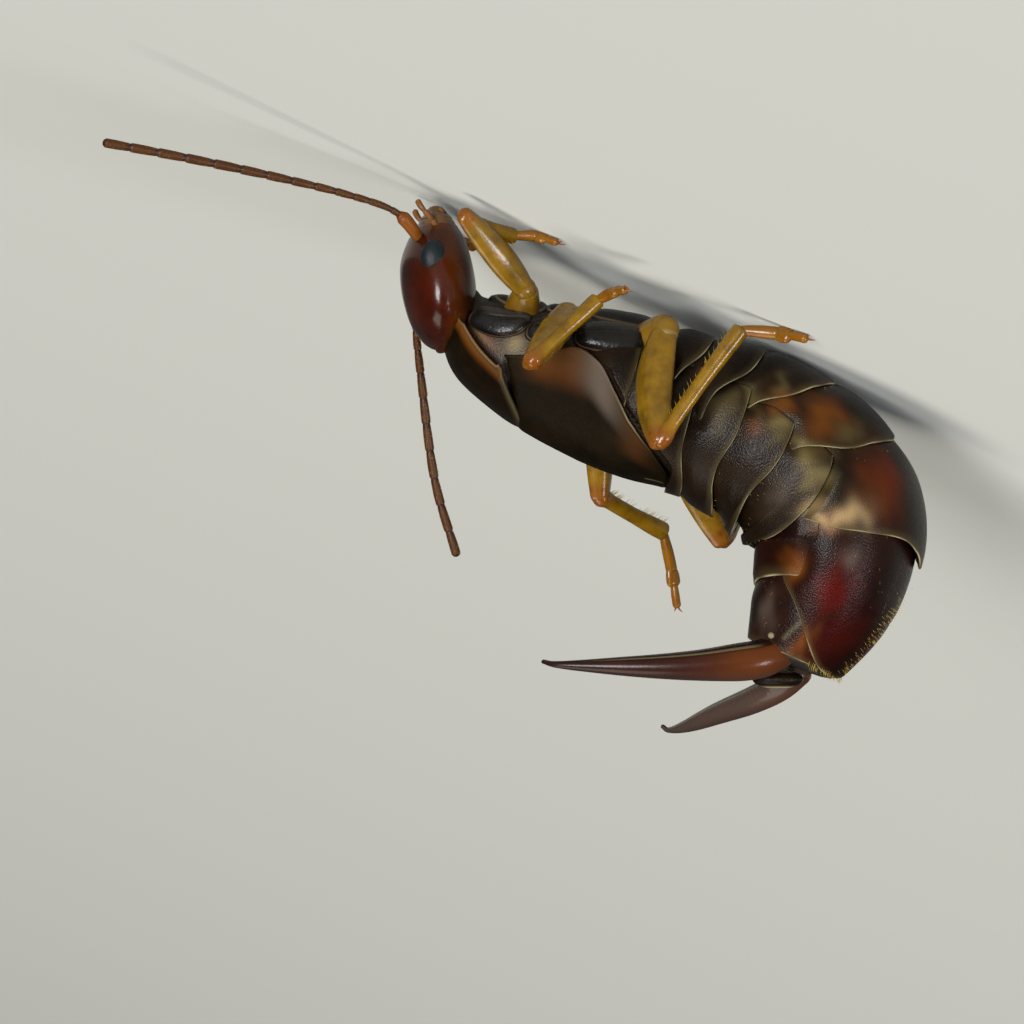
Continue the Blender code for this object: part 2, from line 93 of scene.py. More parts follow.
def stroke(x, y, start, end, width):
    """1 on a straight line from start to end, falling off as exp(-(distance / width)^2)."""
    start, end = np.array(start), np.array(end)
    run = end - start
    t = np.clip(((x - start[0]) * run[0] + (y - start[1]) * run[1]) / (run @ run), 0, 1)
    return bell(np.hypot(x - start[0] - t * run[0], y - start[1] - t * run[1]), 0, width)


def unit(vectors):
    """Vectors of length one, along the last axis."""
    return vectors / np.linalg.norm(vectors, axis=-1, keepdims=True)


def shares(count):
    """Equal steps from 0 to 1."""
    return np.linspace(0, 1, count)


def bunched(count):
    """From -1 to 1 in steps that shorten towards both ends: the sine of equal steps of angle."""
    return np.sin(np.linspace(-math.pi / 2, math.pi / 2, count))


def ring_angles(count):
    """Angles of the points of a closed ring, in radians, as one row."""
    return np.linspace(0, 2 * math.pi, count + 1)[:-1][None, :]


# %% [markdown]
# ## Camera, floor and light
# The photograph looks at the animal's right side, from a little above the floor it stands on, with the
# picture turned so that the floor is at the top. A long lens keeps sizes true across the small depth.
# The floor is one large pale plane. Two soft lights stand on the camera's side and a wide one hangs
# above, as under an open sky: each draws a soft glint on the glossy plates.

# %% The camera
PIXELS_PER_MM = 64.0
PICTURE_SIDE = 1024
LENS = 400.0
SENSOR = 36.0
DOWNWARD = math.radians(7.0)  # how far the camera looks down at the floor
ROLL_COS, ROLL_SIN = 0.9135, 0.4067  # the picture is turned by 156 degrees
AIM = Vector((-0.286, 0.0, 4.054))
across_view = Vector((-ROLL_COS, -ROLL_SIN * math.sin(DOWNWARD), -ROLL_SIN * math.cos(DOWNWARD)))
up_view = Vector((ROLL_SIN, -ROLL_COS * math.sin(DOWNWARD), -ROLL_COS * math.cos(DOWNWARD)))
back_view = Vector((0.0, -math.cos(DOWNWARD), math.sin(DOWNWARD)))
camera_distance = LENS / SENSOR * PICTURE_SIDE / PIXELS_PER_MM

camera = bpy.data.objects.new("camera", bpy.data.cameras.new("camera"))
camera.data.lens = LENS
camera.data.sensor_width = SENSOR
camera.data.clip_start = 0.001
camera.data.clip_end = 10.0
turn = Matrix((across_view, up_view, back_view)).transposed().to_4x4()
camera.matrix_world = Matrix.Translation(to_frame(AIM + back_view * camera_distance)) @ turn
bpy.context.scene.collection.objects.link(camera)
bpy.context.scene.camera = camera
print("camera", round(camera_distance, 1), "mm away")

# %% Hex colours and one function that adds a node


def linear(code):
    """sRGB hex to linear colour: c / 12.92 up to 0.04045, and ((c + 0.055) / 1.055) ** 2.4 above it."""
    parts = np.array([int(code[i : i + 2], 16) / 255 for i in (1, 3, 5)])
    curved = np.where(parts <= 0.04045, parts / 12.92, ((parts + 0.055) / 1.055) ** 2.4)
    return (*curved.tolist(), 1.0)


def fill(finish, node, sockets=None, links=None):
    """Sets the values of a node's sockets and its incoming links."""
    for socket, value in (sockets or {}).items():
        node.inputs[socket].default_value = value
    for socket, output in (links or {}).items():
        finish.node_tree.links.new(output, node.inputs[socket])
    return node


def add(finish, kind, sockets=None, links=None, **settings):
    """Adds a node to a finish, with its settings, the values of its sockets and its incoming links."""
    node = finish.node_tree.nodes.new("ShaderNode" + kind)
    for name, value in settings.items():
        setattr(node, name, value)
    return fill(finish, node, sockets, links)


# %% The floor
FLOOR_HALF = 4.0  # metres
paper = bpy.data.materials.new("matt white card")  # gives a soft bounce of light from below
paper.use_nodes = True
fill(paper, paper.node_tree.nodes["Principled BSDF"], {"Base Color": linear("#c6c8c2"), "Roughness": 0.9})
floor_mesh = bpy.data.meshes.new("floor")
floor_corners = np.array([(-1, -1, 0), (1, -1, 0), (1, 1, 0), (-1, 1, 0)]) * FLOOR_HALF
floor_mesh.from_pydata(floor_corners.tolist(), [], [(0, 1, 2, 3)])
floor_mesh.materials.append(paper)
floor = bpy.data.objects.new("floor", floor_mesh)
bpy.context.scene.collection.objects.link(floor)
print("floor", 2 * FLOOR_HALF, "m wide")

# %% The lights
ABOVE = Vector((0.0, 0.0, 1.0))


def soft_light(name, offset, side, watts, code):
    """A square light at an offset from the aim, in millimetres, turned to face it."""
    lamp = bpy.data.lights.new(name, "AREA")
    lamp.shape = "SQUARE"
    lamp.size = side * MM
    lamp.energy = watts
    lamp.color = linear(code)[:3]
    holder = bpy.data.objects.new(name, lamp)
    holder.rotation_mode = "QUATERNION"
    holder.rotation_quaternion = (-offset).to_track_quat("-Z", "Y")
    holder.location = to_frame(AIM + offset)
    bpy.context.scene.collection.objects.link(holder)
    print(name, "at", tuple(round(v) for v in offset), "mm from the aim")


soft_light("key light", back_view * 1000 - across_view * 380, 420, 18.0, "#ffffff")
soft_light("side light", back_view * 500 + across_view * 700 + ABOVE * 330, 200, 4.0, "#f4f6ff")
soft_light("top light", ABOVE * 1300 + back_view * 300, 900, 12.0, "#fff8ee")
sky = bpy.data.worlds.new("overcast sky")
sky.use_nodes = True
fill(sky, sky.node_tree.nodes["Background"], {"Color": linear("#dfe6ee"), "Strength": 0.10})
bpy.context.scene.world = sky
bpy.context.scene.view_settings.view_transform = "Standard"

# %% [markdown]
# ## Cuticle
# An insect's shell is cuticle: a thin, hard, waxy layer over soft tissue. Where it is thick it is nearly
# black, and where it is thin, light gets in and comes back amber or cream. A photograph of it shows
# three things: patches of colour from below, a fine grain like cobbles, and glints broken up by it. So
# each finish lays stains over a base colour by channels that the piece carries, adds a cloudy change
# of tone, and raises a grain of a real size in millimetres.
# One channel, the mauve one, also paints sheen into the colour where the glints fall, besides the glints that
# the lights give.

# %% One recipe for all cuticle
# The mauve channel is mostly painted sheen: a grey glint laid into the colour of the fore wings, the
# abdominal plates and the thorax's pillows. On the forceps it is a mauve tint of the inner faces.
STAINS = {  # channel of a piece: the colour that shows through or lies on the cuticle there
    "amber": "#5a300a", "cream": "#8c7450", "ruby": "#400603",
    "tan": "#5c5030", "sheen_and_mauve_tint": "#51463d", "rim": "#a69a76",
}
LIMB_STAINS = {**STAINS, "amber": "#703e0a"}  # thin cuticle lets more light back out
BLADE_STAINS = {**STAINS, "amber": "#4a2206"}  # thick cuticle lets out less
CHITIN_IOR = 1.56
WAX_ROUGH = 0.12  # roughness of the thin layer of wax on top
LIGHT_DEPTH = 0.25  # millimetres that light runs inside
RED_GREEN_BLUE = (1.0, 0.45, 0.15)  # how much of that depth each colour reaches


def cuticle(name, colours, grain, relief, rough, cloud=0.5, coat=0.0, through=0.0, gloss=0.25, stains=STAINS):
    """Principled cuticle. Colour = from the deep to the pale one by a cloud of noise, then each stain by
    its channel. Height = cobbles of the grain size, in millimetres, raised by the relief."""
    finish = bpy.data.materials.new(name)
    finish.use_nodes = True
    shader = finish.node_tree.nodes["Principled BSDF"]
    place = {"Vector": add(finish, "TexCoord").outputs["Object"]}
    clouds = add(finish, "TexNoise", {"Scale": 1 / (cloud * MM), "Detail": 5.0, "Roughness": 0.6}, place)
    spread = add(finish, "MapRange", {"From Min": 0.32, "From Max": 0.68}, {"Value": clouds.outputs["Fac"]})
    ends = {6: linear(colours[0]), 7: linear(colours[1])}
    colour = add(finish, "Mix", ends, {0: spread.outputs["Result"]}, data_type="RGBA").outputs[2]
    for channel, code in stains.items():
        amount = add(finish, "Attribute", attribute_name=channel).outputs["Fac"]
        colour = add(finish, "Mix", {7: linear(code)}, {0: amount, 6: colour}, data_type="RGBA").outputs[2]
    cobbles = add(finish, "TexVoronoi", {"Scale": 1 / (grain * MM)}, place, feature="F1")
    height = {"Height": cobbles.outputs["Distance"]}
    raised = add(finish, "Bump", {"Distance": relief * MM, "Strength": 1.0}, height, invert=True)
    wear = add(finish, "TexNoise", {"Scale": 1 / (3 * grain * MM), "Detail": 2.0}, place)
    limits = {"To Min": 0.75 * rough, "To Max": 1.3 * rough}
    dull = add(finish, "MapRange", limits, {"Value": wear.outputs["Fac"]})
    wires = {"Base Color": colour, "Normal": raised.outputs["Normal"], "Roughness": dull.outputs["Result"]}
    shine = {"IOR": CHITIN_IOR, "Specular IOR Level": gloss, "Coat Weight": coat, "Coat Roughness": WAX_ROUGH}
    glow = {"Subsurface Weight": through, "Subsurface Radius": RED_GREEN_BLUE}
    fill(finish, shader, {**shine, **glow, "Subsurface Scale": LIGHT_DEPTH * MM}, wires)
    return finish


# %% The finishes: colours from deep to pale, grain and relief in millimetres, roughness
# Nearly black brown with pits, which break each glint into grains
plate_finish = cuticle("punctured brown cuticle", ("#0a0502", "#1a0f05"), 0.028, 0.0046, 0.34, gloss=0.08)
# The same with a red depth, as on the thick last ring
tail_finish = cuticle("dark red cuticle", ("#0b0302", "#1c0803"), 0.028, 0.0042, 0.32, gloss=0.07)
# Smooth and black, with clear glints on its rounded plates
thorax_finish = cuticle("black thorax cuticle", ("#090807", "#181513"), 0.05, 0.003, 0.28, gloss=0.18)
# Dull and wrinkled, so that the joints look deep
soft_finish = cuticle("soft joint skin", ("#14100a", "#261e13"), 0.03, 0.005, 0.5)
# Polished like lacquer, with long clean glints
head_finish = cuticle("polished red-brown cuticle", ("#160501", "#331003"), 0.05, 0.001, 0.24,
                      coat=0.12, gloss=0.14)
# A soft sheen, as of wax, on nearly black
shield_finish = cuticle("waxed brown cuticle", ("#080501", "#160d04"), 0.03, 0.002, 0.34, gloss=0.05)
# Duller still: a wing case is leather and not shell
wing_finish = cuticle("leathery fore wing", ("#080501", "#140d04"), 0.024, 0.004, 0.44, gloss=0.03)
# Warm and clear, lit from within, with sharp small glints
leg_finish = cuticle("amber leg cuticle", ("#523a03", "#755606"), 0.04, 0.0012, 0.21, 0.3,
                     through=0.3, gloss=0.24, stains=LIMB_STAINS)
# Brown and a little clear, dull because of its fine hairs
feeler_finish = cuticle("brown feeler cuticle", ("#170c05", "#2c180a"), 0.03, 0.002, 0.4, 0.2,
                        through=0.15, gloss=0.16, stains=LIMB_STAINS)
# Hard and smooth like horn, with one long glint along each blade
forceps_finish = cuticle("horn-like forceps cuticle", ("#0f0605", "#1f0f0c"), 0.04, 0.0008, 0.26,
                         coat=0.06, gloss=0.11, stains=BLADE_STAINS)
# Blue-black and finely faceted, so that it has a veil in place of a glint
eye_finish = cuticle("faceted eye", ("#080b0d", "#151d20"), 0.02, 0.003, 0.42, gloss=0.15)
# Pale gold, so that single hairs show against the dark
hair_finish = cuticle("golden bristle", ("#846a20", "#c8ae50"), 0.05, 0.0, 0.4, stains={})
print(len(bpy.data.materials), "finishes")

# %% [markdown]
# ## From arrays to meshes
# Two kinds of surface make almost every piece. A tube is a row of rings with a dome at each end, for
# bodies and limbs. A plate is a thin sheet with an outer and an inner face joined at the rim, for the
# shields that overlap like roof tiles. Both are whole arrays, and both end up closed, so that an
# exported mesh has no holes.

# %% Rings to a closed tube, two faces to a closed plate


def tube(rings, channels=None, domes=(0.5, 0.5), dome_steps=4):
    """Closes rings (rows, around, 3) with a dome at each end. A dome ring at angle t keeps cos(t) of the
    end ring's size and stands sin(t) * dome * radius beyond it, and a pole closes it."""
    t = np.linspace(0, math.pi / 2, dome_steps + 1)[1:-1, None, None]
    blocks, poles = [rings], []
    for end, inward, dome in ((0, 1, domes[0]), (-1, -2, domes[1])):
        centre = rings[end].mean(0)
        outward = unit(centre - rings[inward].mean(0))
        reach = dome * np.linalg.norm(rings[end] - centre, axis=1).mean()
        cap = centre + outward * reach * np.sin(t) + (rings[end] - centre) * np.cos(t)
        poles.append(centre + outward * reach)
        blocks = [cap[::-1]] + blocks if end == 0 else blocks + [cap]
    body = np.concatenate(blocks)
    rows, around = body.shape[:2]
    index = np.arange(rows * around).reshape(rows, around)
    beside = np.roll(index, -1, axis=1)
    quads = np.stack([index[:-1], beside[:-1], beside[1:], index[1:]], -1).reshape(-1, 4)
    low_fan = np.stack([beside[0], index[0], np.full(around, rows * around)], -1)
    high_fan = np.stack([index[-1], beside[-1], np.full(around, rows * around + 1)], -1)
    spread = {}
    for key, value in (channels or {}).items():
        value = np.broadcast_to(value, rings.shape[:2])
        flat = np.concatenate([np.repeat(value[:1], len(t), 0), value, np.repeat(value[-1:], len(t), 0)])
        spread[key] = np.append(flat.ravel(), (value[0].mean(), value[-1].mean()))
    return np.vstack([body.reshape(-1, 3), poles]), quads, np.vstack([low_fan, high_fan]), spread


def plate(outer, inner, channels=None):
    """Joins an outer and an inner grid (rows, columns, 3) into one closed sheet with a rim."""
    rows, columns = outer.shape[:2]
    count = rows * columns
    top = np.arange(count).reshape(rows, columns)
    low = top + count
    quads = [np.stack([top[:-1, :-1], top[:-1, 1:], top[1:, 1:], top[1:, :-1]], -1).reshape(-1, 4)]
    quads.append(np.stack([low[:-1, :-1], low[1:, :-1], low[1:, 1:], low[:-1, 1:]], -1).reshape(-1, 4))
    rim = np.concatenate([top[0, :-1], top[:-1, -1], top[-1, :0:-1], top[:0:-1, 0]])
    turned = np.roll(rim, -1)
    quads.append(np.stack([turned, rim, rim + count, turned + count], -1))
    points = np.vstack([outer.reshape(-1, 3), inner.reshape(-1, 3)])
    spread = {}
    for key, value in (channels or {}).items():
        spread[key] = np.tile(np.broadcast_to(value, (rows, columns)).ravel(), 2)
    return points, np.vstack(quads), np.zeros((0, 3), int), spread


def together(shapes):
    """Several shapes as one, each with its own closed surface."""
    starts = np.cumsum([0] + [len(shape[0]) for shape in shapes])
    points = np.vstack([shape[0] for shape in shapes])
    quads = np.vstack([shape[1] + start for shape, start in zip(shapes, starts)])
    threes = np.vstack([shape[2] + start for shape, start in zip(shapes, starts)])
    joined = {key: np.concatenate([shape[3][key] for shape in shapes]) for key in shapes[0][3]}
    return points, quads, threes, joined


# %% A shape becomes a piece of the animal
made = {}


def volume(points, threes):
    """Signed volume inside triangles: the sum of a . (b x c) / 6."""
    a, b, c = (points[threes[:, k]] for k in range(3))
    return float((a * np.cross(b, c)).sum() / 6)


def piece(name, shape, finish, slot, nodes=()):
    """Makes the mesh, faces outwards, gives it its channels and finish, and sets it on the frame."""
    points, quads, threes, channels = shape
    halves = np.vstack([quads[:, (0, 1, 2)], quads[:, (0, 2, 3)], threes])
    if volume(points - points.mean(0), halves) < 0:
        quads, threes = quads[:, ::-1], threes[:, ::-1]
    mesh = bpy.data.meshes.new(name)
    mesh.vertices.add(len(points))
    mesh.vertices.foreach_set("co", to_frame(points).ravel())
    corners = np.concatenate([quads.ravel(), threes.ravel()]).astype(np.int32)
    starts = np.concatenate([np.arange(len(quads)) * 4, len(quads) * 4 + np.arange(len(threes)) * 3])
    mesh.loops.add(len(corners))
    mesh.loops.foreach_set("vertex_index", corners)
    mesh.polygons.add(len(starts))
    mesh.polygons.foreach_set("loop_start", starts.astype(np.int32))
    mesh.update(calc_edges=True)
    mesh.validate()
    mesh.shade_smooth()
    for channel, values in channels.items():
        layer = mesh.attributes.new(channel, "FLOAT", "POINT")
        layer.data.foreach_set("value", np.clip(values, 0, 1).astype(np.float32))
    mesh.materials.append(finish)
    thing = bpy.data.objects.new(name, mesh)
    bpy.context.scene.collection.objects.link(thing)
    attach(thing, "root")
    if nodes:
        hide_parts(*nodes)
    made[name] = len(starts)
    return thing


def faces_of(start):
    """Faces of all pieces whose names start in one way."""
    return sum(count for name, count in made.items() if name.startswith(start))


# %% [markdown]
# ## The trunk
# Thorax and abdomen are one tube along a spine that curls up over the back, as an earwig does when it
# is alarmed. The rounded cross-section is the same rule all the way: half width, reach up and reach
# down at each row of the spine, slightly squared. A place on it is a row and an angle, 0 at the middle
# of the back and 180 at the middle of the belly, so every plate below can say where it begins and ends
# in those two numbers.

# %% The spine and its surface
# x, y, z of the centre, half width, reach up, reach down, and the twist in degrees
SPINE = np.array([
    (1.62, 0.00, 1.42, 0.60, 0.62, 0.42, 0), (0.95, 0.00, 1.66, 0.95, 0.88, 0.76, 0),
    (0.10, 0.00, 1.76, 1.18, 1.05, 1.00, 0), (-0.75, 0.00, 1.69, 1.32, 1.20, 1.18, 0),
    (-1.50, 0.00, 1.60, 1.34, 1.25, 1.22, 0), (-2.20, 0.00, 1.50, 1.30, 1.23, 1.22, 3),
    (-2.92, 0.00, 1.43, 1.38, 1.30, 1.30, 8), (-3.68, 0.00, 1.43, 1.46, 1.34, 1.31, 14),
    (-4.50, 0.02, 1.72, 1.46, 1.34, 1.38, 20), (-5.10, 0.05, 2.38, 1.36, 1.26, 1.34, 26),
    (-5.25, 0.12, 3.30, 1.10, 1.04, 1.08, 30), (-5.25, 0.22, 4.34, 0.82, 0.70, 0.70, 32),
])
ROUNDING = 0.92  # exponent of the cross-section
ROW_STEP = 0.02  # rows to either side that give the spine's direction
PAST_END = 1.04  # millimetres for each row past the last one


def trunk_frames(at):
    """Centre, direction to the tail, left, dorsal and sizes at rows of the spine. Past its last row the
    spine goes straight on."""
    at = np.asarray(at, float)
    last = len(SPINE) - 1
    here = rows_at(SPINE, at)
    inside = np.clip(at, ROW_STEP, last - ROW_STEP)
    along = unit(rows_at(SPINE, inside + ROW_STEP)[:, :3] - rows_at(SPINE, inside - ROW_STEP)[:, :3])
    left = unit(np.array((0.0, 1.0, 0.0)) - along[:, 1:2] * along)
    dorsal = np.cross(left, along)
    twist = np.radians(here[:, 6:7])
    turned_left = np.cos(twist) * left - np.sin(twist) * dorsal
    turned_dorsal = np.cos(twist) * dorsal + np.sin(twist) * left
    centre = here[:, :3] + along * PAST_END * np.clip(at - last, 0, None)[:, None]
    return centre, along, turned_left, turned_dorsal, here[:, 3:6]


def trunk_point(at, degrees, lift=0.0, roof=None):
    """Points at rows and angles: centre + left * side + dorsal * height, with side = width * |sin|^0.92
    and height = reach * |cos|^0.92, moved outwards by the lift and kept under a roof if one is given."""
    at, degrees, lift = np.broadcast_arrays(np.asarray(at, float), degrees, lift)
    centre, _, left, dorsal, size = trunk_frames(at.ravel())
    angle = np.radians(degrees.ravel())
    sine = np.sign(np.sin(angle)) * np.abs(np.sin(angle)) ** ROUNDING
    cosine = np.sign(np.cos(angle)) * np.abs(np.cos(angle)) ** ROUNDING
    reach = np.where(cosine > 0, size[:, 1], size[:, 2])
    outward = unit(np.column_stack([np.sin(angle) / size[:, 0], np.cos(angle) / reach]))
    side = sine * size[:, 0] + outward[:, 0] * lift.ravel()
    height = cosine * reach + outward[:, 1] * lift.ravel()
    if roof is not None:
        height = np.minimum(height, roof(at.ravel(), side))
    points = centre + side[:, None] * left + height[:, None] * dorsal
    return points.reshape(at.shape + (3,))


# %% [markdown]
# Colour shows through the plates in soft patches, the same on both sides of the body. Each patch is a
# bell curve in row and angle. They are kept apart from the plates, so that a patch may run from one
# plate to the next as the tissue beneath does.
# The mauve patches are not colour from beneath: they are painted glints.

# %% Patches of colour under the plates, and painted glints on them
PATCHES = {  # row, angle, spread in rows, spread in degrees, strength
    "amber": [
        (6.68, 120, 0.20, 10, 0.70), (7.30, 136, 0.30, 15, 0.75), (8.72, 106, 0.16, 9, 0.80),
        (8.45, 146, 0.35, 14, 0.55), (9.70, 88, 0.24, 8, 0.80), (6.35, 100, 0.15, 9, 0.40),
        (10.75, 124, 0.26, 9, 0.75),
    ],
    "cream": [(8.66, 103, 0.14, 9, 0.70), (8.70, 118, 0.17, 12, 0.75), (8.42, 94, 0.20, 7, 0.50)],
    "tan": [
        (7.45, 108, 0.30, 8, 0.75), (7.85, 104, 0.30, 8, 0.70), (6.80, 106, 0.25, 6, 0.70),
        (6.55, 132, 0.12, 14, 0.35), (7.70, 140, 0.14, 16, 0.30), (6.10, 116, 0.25, 7, 0.50),
        (5.60, 100, 0.30, 12, 0.30),
    ],
    "ruby": [(9.85, 124, 0.45, 13, 0.80), (10.40, 146, 0.50, 22, 0.35), (8.42, 150, 0.40, 16, 0.60)],
    # Painted highlights: the mauve patches sit where the plates glint.
    "sheen_and_mauve_tint": [(9.30, 124, 0.16, 9, 0.45), (10.55, 74, 0.30, 12, 0.45), (7.65, 78, 0.30, 14, 0.30)],
}


def patches(at, degrees):
    """Each channel is the largest of its bells: strength * bell(row) * bell(angle), read at places that
    are shaken by sines, so that no patch is a plain oval."""
    angle = np.abs(degrees)
    shaken = at + 0.05 * np.sin(0.21 * angle + 2.3 * at) + 0.03 * np.sin(0.47 * angle - 5.1 * at)
    turned = angle + 3.0 * np.sin(5.3 * at + 0.11 * angle) + 1.8 * np.sin(11.7 * at - 0.23 * angle)
    return {
        channel: np.max([power * bell(shaken, row, wide) * bell(turned, place, turn_wide)
                         for row, place, wide, turn_wide, power in bells], axis=0)
        for channel, bells in PATCHES.items()
    }


# %% [markdown]
# ## Shields on the back
# The pronotum covers the first ring of the thorax, and two fore wings, the tegmina, lie over the next
# two. Each falls from the middle of the back to a side edge by a power of the sideways share, which is
# flat in the middle and steep at the side. The pronotum ends in a thin, pale, slightly raised brim, and
# each wing in a fine pale edge.

# %% The shields' own rule
# Rows of: row of the spine, half width, drop from the middle to the side edge
PRONOTUM = np.array([
    (0.02, 0.80, 0.27), (0.25, 0.97, 0.33), (1.10, 1.13, 0.38), (1.75, 1.13, 0.37), (2.00, 1.03, 0.34),
])
TEGMINA = np.array([
    (1.12, 0.98, 0.56), (1.68, 1.17, 0.95), (2.26, 1.35, 1.38), (2.80, 1.40, 1.36), (3.24, 1.36, 1.07),
    (3.70, 1.24, 0.72), (4.34, 1.00, 0.40), (4.84, 0.62, 0.18), (5.08, 0.24, 0.05),
])
SHIELD_BEND = 2.2  # power of the fall towards the side edge
PRONOTUM_START, PRONOTUM_END = 0.02, 2.0
CORNER_TUCK = 0.76  # how much further forward the hind margin is at the side
WING_START, SHOULDER = 1.95, 0.72  # front margin in the middle, and how much further forward at the side
SHIELD_THICK = 0.07
SHIELD_ROOM = 0.12  # from a shield's outer face to whatever lies under it
INNER_ROOM = 0.03  # further down to the inner face of a plate there
WING_LAP = 0.1  # rows by which the roof begins before a wing's front and ends before its tip
NO_ROOF = 9.0  # high enough to leave everything as it is


def size_at(table, at):
    """Half width and drop of a shield at rows of the spine, on a smooth curve through its table."""
    step = np.interp(at, table[:, 0], np.arange(len(table)))
    return (column.reshape(np.shape(at)) for column in rows_at(table, step).T[1:])


def shield_roof(at, side):
    """Height just under the shields at a row and a sideways place: reach up - drop * share^2.2 - 0.12,
    with the larger drop where both shields lie over the place."""
    half, drop = size_at(PRONOTUM, at)
    fall = np.where(at < PRONOTUM_END, drop * np.clip(np.abs(side) / half, 0, 1) ** SHIELD_BEND, 0)
    half, drop = size_at(TEGMINA, at)
    share = np.clip(np.abs(side) / half, 0, 1)
    under_wing = at > WING_START - SHOULDER * share**1.5 - WING_LAP
    fall = np.maximum(fall, np.where(under_wing, drop * share**SHIELD_BEND, 0))
    roof = trunk_frames(at)[4][:, 1] - fall - SHIELD_ROOM
    return np.where(at > TEGMINA[-1, 0] - WING_LAP, NO_ROOF, roof)


def under_roof(at, side):
    """The roof for the inner face of a plate, a little lower than its outer face."""
    return shield_roof(at, side) - INNER_ROOM


def shield_points(table, at, share, sink):
    """centre + left * half width * share + dorsal * (reach up - drop * |share|^2.2 - sink)."""
    at, share, sink = np.broadcast_arrays(at, share, sink)
    half, drop = size_at(table, at)
    centre, _, left, dorsal, size = trunk_frames(at.ravel())
    height = size[:, 1] - (drop * np.abs(share) ** SHIELD_BEND + sink).ravel()
    points = centre + (half * share).ravel()[:, None] * left + height[:, None] * dorsal
    return points.reshape(at.shape + (3,))


def shield(table, at, share, relief, thinner, channels):
    """A shield as a plate, thinner towards its side edges by a share of its thickness."""
    outer = shield_points(table, at, share, relief)
    inner = shield_points(table, at, share, relief + SHIELD_THICK * (1 - thinner * np.abs(share)))
    return plate(outer, inner, channels)


# %% The pronotum
across = bunched(101)[None, :]
share = np.abs(across)
u = shares(64)[:, None]
at = PRONOTUM_START + (PRONOTUM_END - PRONOTUM_START) * u - CORNER_TUCK * share**2 * u**2
brim = ease(0.89, 0.95, share)
round_ends = 0.05 * (1 - np.sqrt(np.clip(1 - np.abs(2 * u - 1) ** 10, 0, 1)))
swell = 0.05 * bell(u, 0.35, 0.25) * (1 - share**2)
relief = round_ends - swell + 0.012 * bell(across, 0, 0.02) + 0.03 * brim * (1 - ease(0.93, 1.0, share))
pronotum_paint = {
    "tan": np.maximum(0.24 * brim * (1 - 0.7 * ease(0.8, 1.0, u)), 0.12 * ease(0.93, 0.99, u)),
    "amber": 0.75 * ease(0.80, 0.93, share) * (1 - 0.5 * u),
    "rim": 0.10 * ease(0.985, 0.998, share) + 0.10 * ease(0.98, 0.995, u),
}
shape = shield(PRONOTUM, at, across, relief, 0.5, pronotum_paint)
piece("pronotum_shield", shape, shield_finish, "pronotum", ["pronotum"])
print("pronotum", made["pronotum_shield"], "faces")

# %% The fore wings
share = shares(61)[None, :] ** 0.85
u = shares(110)[:, None]
start = WING_START - SHOULDER * share**1.5
at = start + (TEGMINA[-1, 0] - start) * u
tucked = 0.10 * (1 - ease(-0.25, 0.05, at - PRONOTUM_END + CORNER_TUCK * share**2))
seam = 0.05 * (1 - ease(0.0, 0.05, share))
edge_bead = 0.02 * bell(share, 0.93, 0.03) - 0.02 * ease(0.95, 1.0, share)
relief = seam + edge_bead + tucked + 0.03 * ease(0.93, 1.0, u)
front_glow = 0.50 * ease(0.70, 0.90, share) * ease(0.04, 0.16, u) * (1 - ease(0.26, 0.42, u))
wing_paint = {
    "rim": 0.30 * ease(0.984, 0.997, share) * bell(u, 0.64, 0.10) + 0.12 * ease(0.985, 0.998, u),
    "amber": np.maximum(front_glow, 0.22 * ease(0.55, 0.80, share) * bell(u, 0.70, 0.10)),
    # Painted sheen: the grey-mauve band near the side edge is a glint laid into the colour.
    "sheen_and_mauve_tint": 0.82 * ease(0.76, 0.88, share) * bell(u, 0.45, 0.12),
    "tan": 0.15 * ease(0.86, 0.97, share) * bell(u, 0.45, 0.30),
    "cream": 0.40 * stroke(u, share, (0.80, 0.34), (0.93, 0.50), 0.010),
}
for side_name, sign in SIDES:
    shape = shield(TEGMINA, at, sign * share, relief, 0.6, wing_paint)
    piece("fore_wing_" + side_name, shape, wing_finish, "tegmen", ["tegmen_" + side_name])
print("fore wings", made["fore_wing_right"], "faces each")

# %% [markdown]
# ## The body under the plates
# One closed skin runs from the neck to the root of the forceps. On the real animal it is the soft
# membrane that joins the plates, and it shows only in the joints. It lies a little inside the plates
# and under the shields, and it stands for the solids of the thorax.

# %% The soft skin
skin_rows = np.linspace(0.0, 11.0, 300)[:, None]
skin_angles = np.linspace(0, 360, 145)[:-1][None, :]
skin_depth = 0.05 + 0.25 * ease(4.9, 5.5, skin_rows) * (1 - ease(10.4, 10.85, skin_rows))
skin_depth = skin_depth + 0.14 * (1 - ease(0.0, 0.40, skin_rows))  # narrower towards the neck
skin = trunk_point(skin_rows, skin_angles, -skin_depth, shield_roof)
skin_turn = 180 - np.abs(skin_angles - 180)  # the angle without its side
side_cream = 0.50 * bell(skin_rows, 1.28, 0.12) * bell(skin_turn, 88, 7)
skin_paint = {
    "cream": np.maximum(side_cream, 0.22 * bell(skin_rows, 0.62, 0.34) * bell(skin_turn, 73, 4)),
    "tan": 0.60 * bell(skin_rows, 1.28, 0.18) * bell(skin_turn, 86, 11),
    "amber": 0.50 * bell(skin_rows, 0.70, 0.40) * bell(skin_turn, 74, 9),
}
shape = tube(skin, skin_paint, domes=(0.2, 0.15))
piece("body_skin", shape, soft_finish, "thorax", ["prothorax", "mesothorax", "metathorax"])
print("skin", made["body_skin"], "faces")

# %% [markdown]
# ## Plates of the abdomen
# Each ring has a plate above, the tergite, and one below, the sternite. Their hind margins are curved,
# and each lies over the front of the next. A margin is five rows, read at equal steps of angle, on one
# smooth curve. The plate rises from under its neighbour to its own margin, where it ends in a rounded,
# pale, translucent rim.

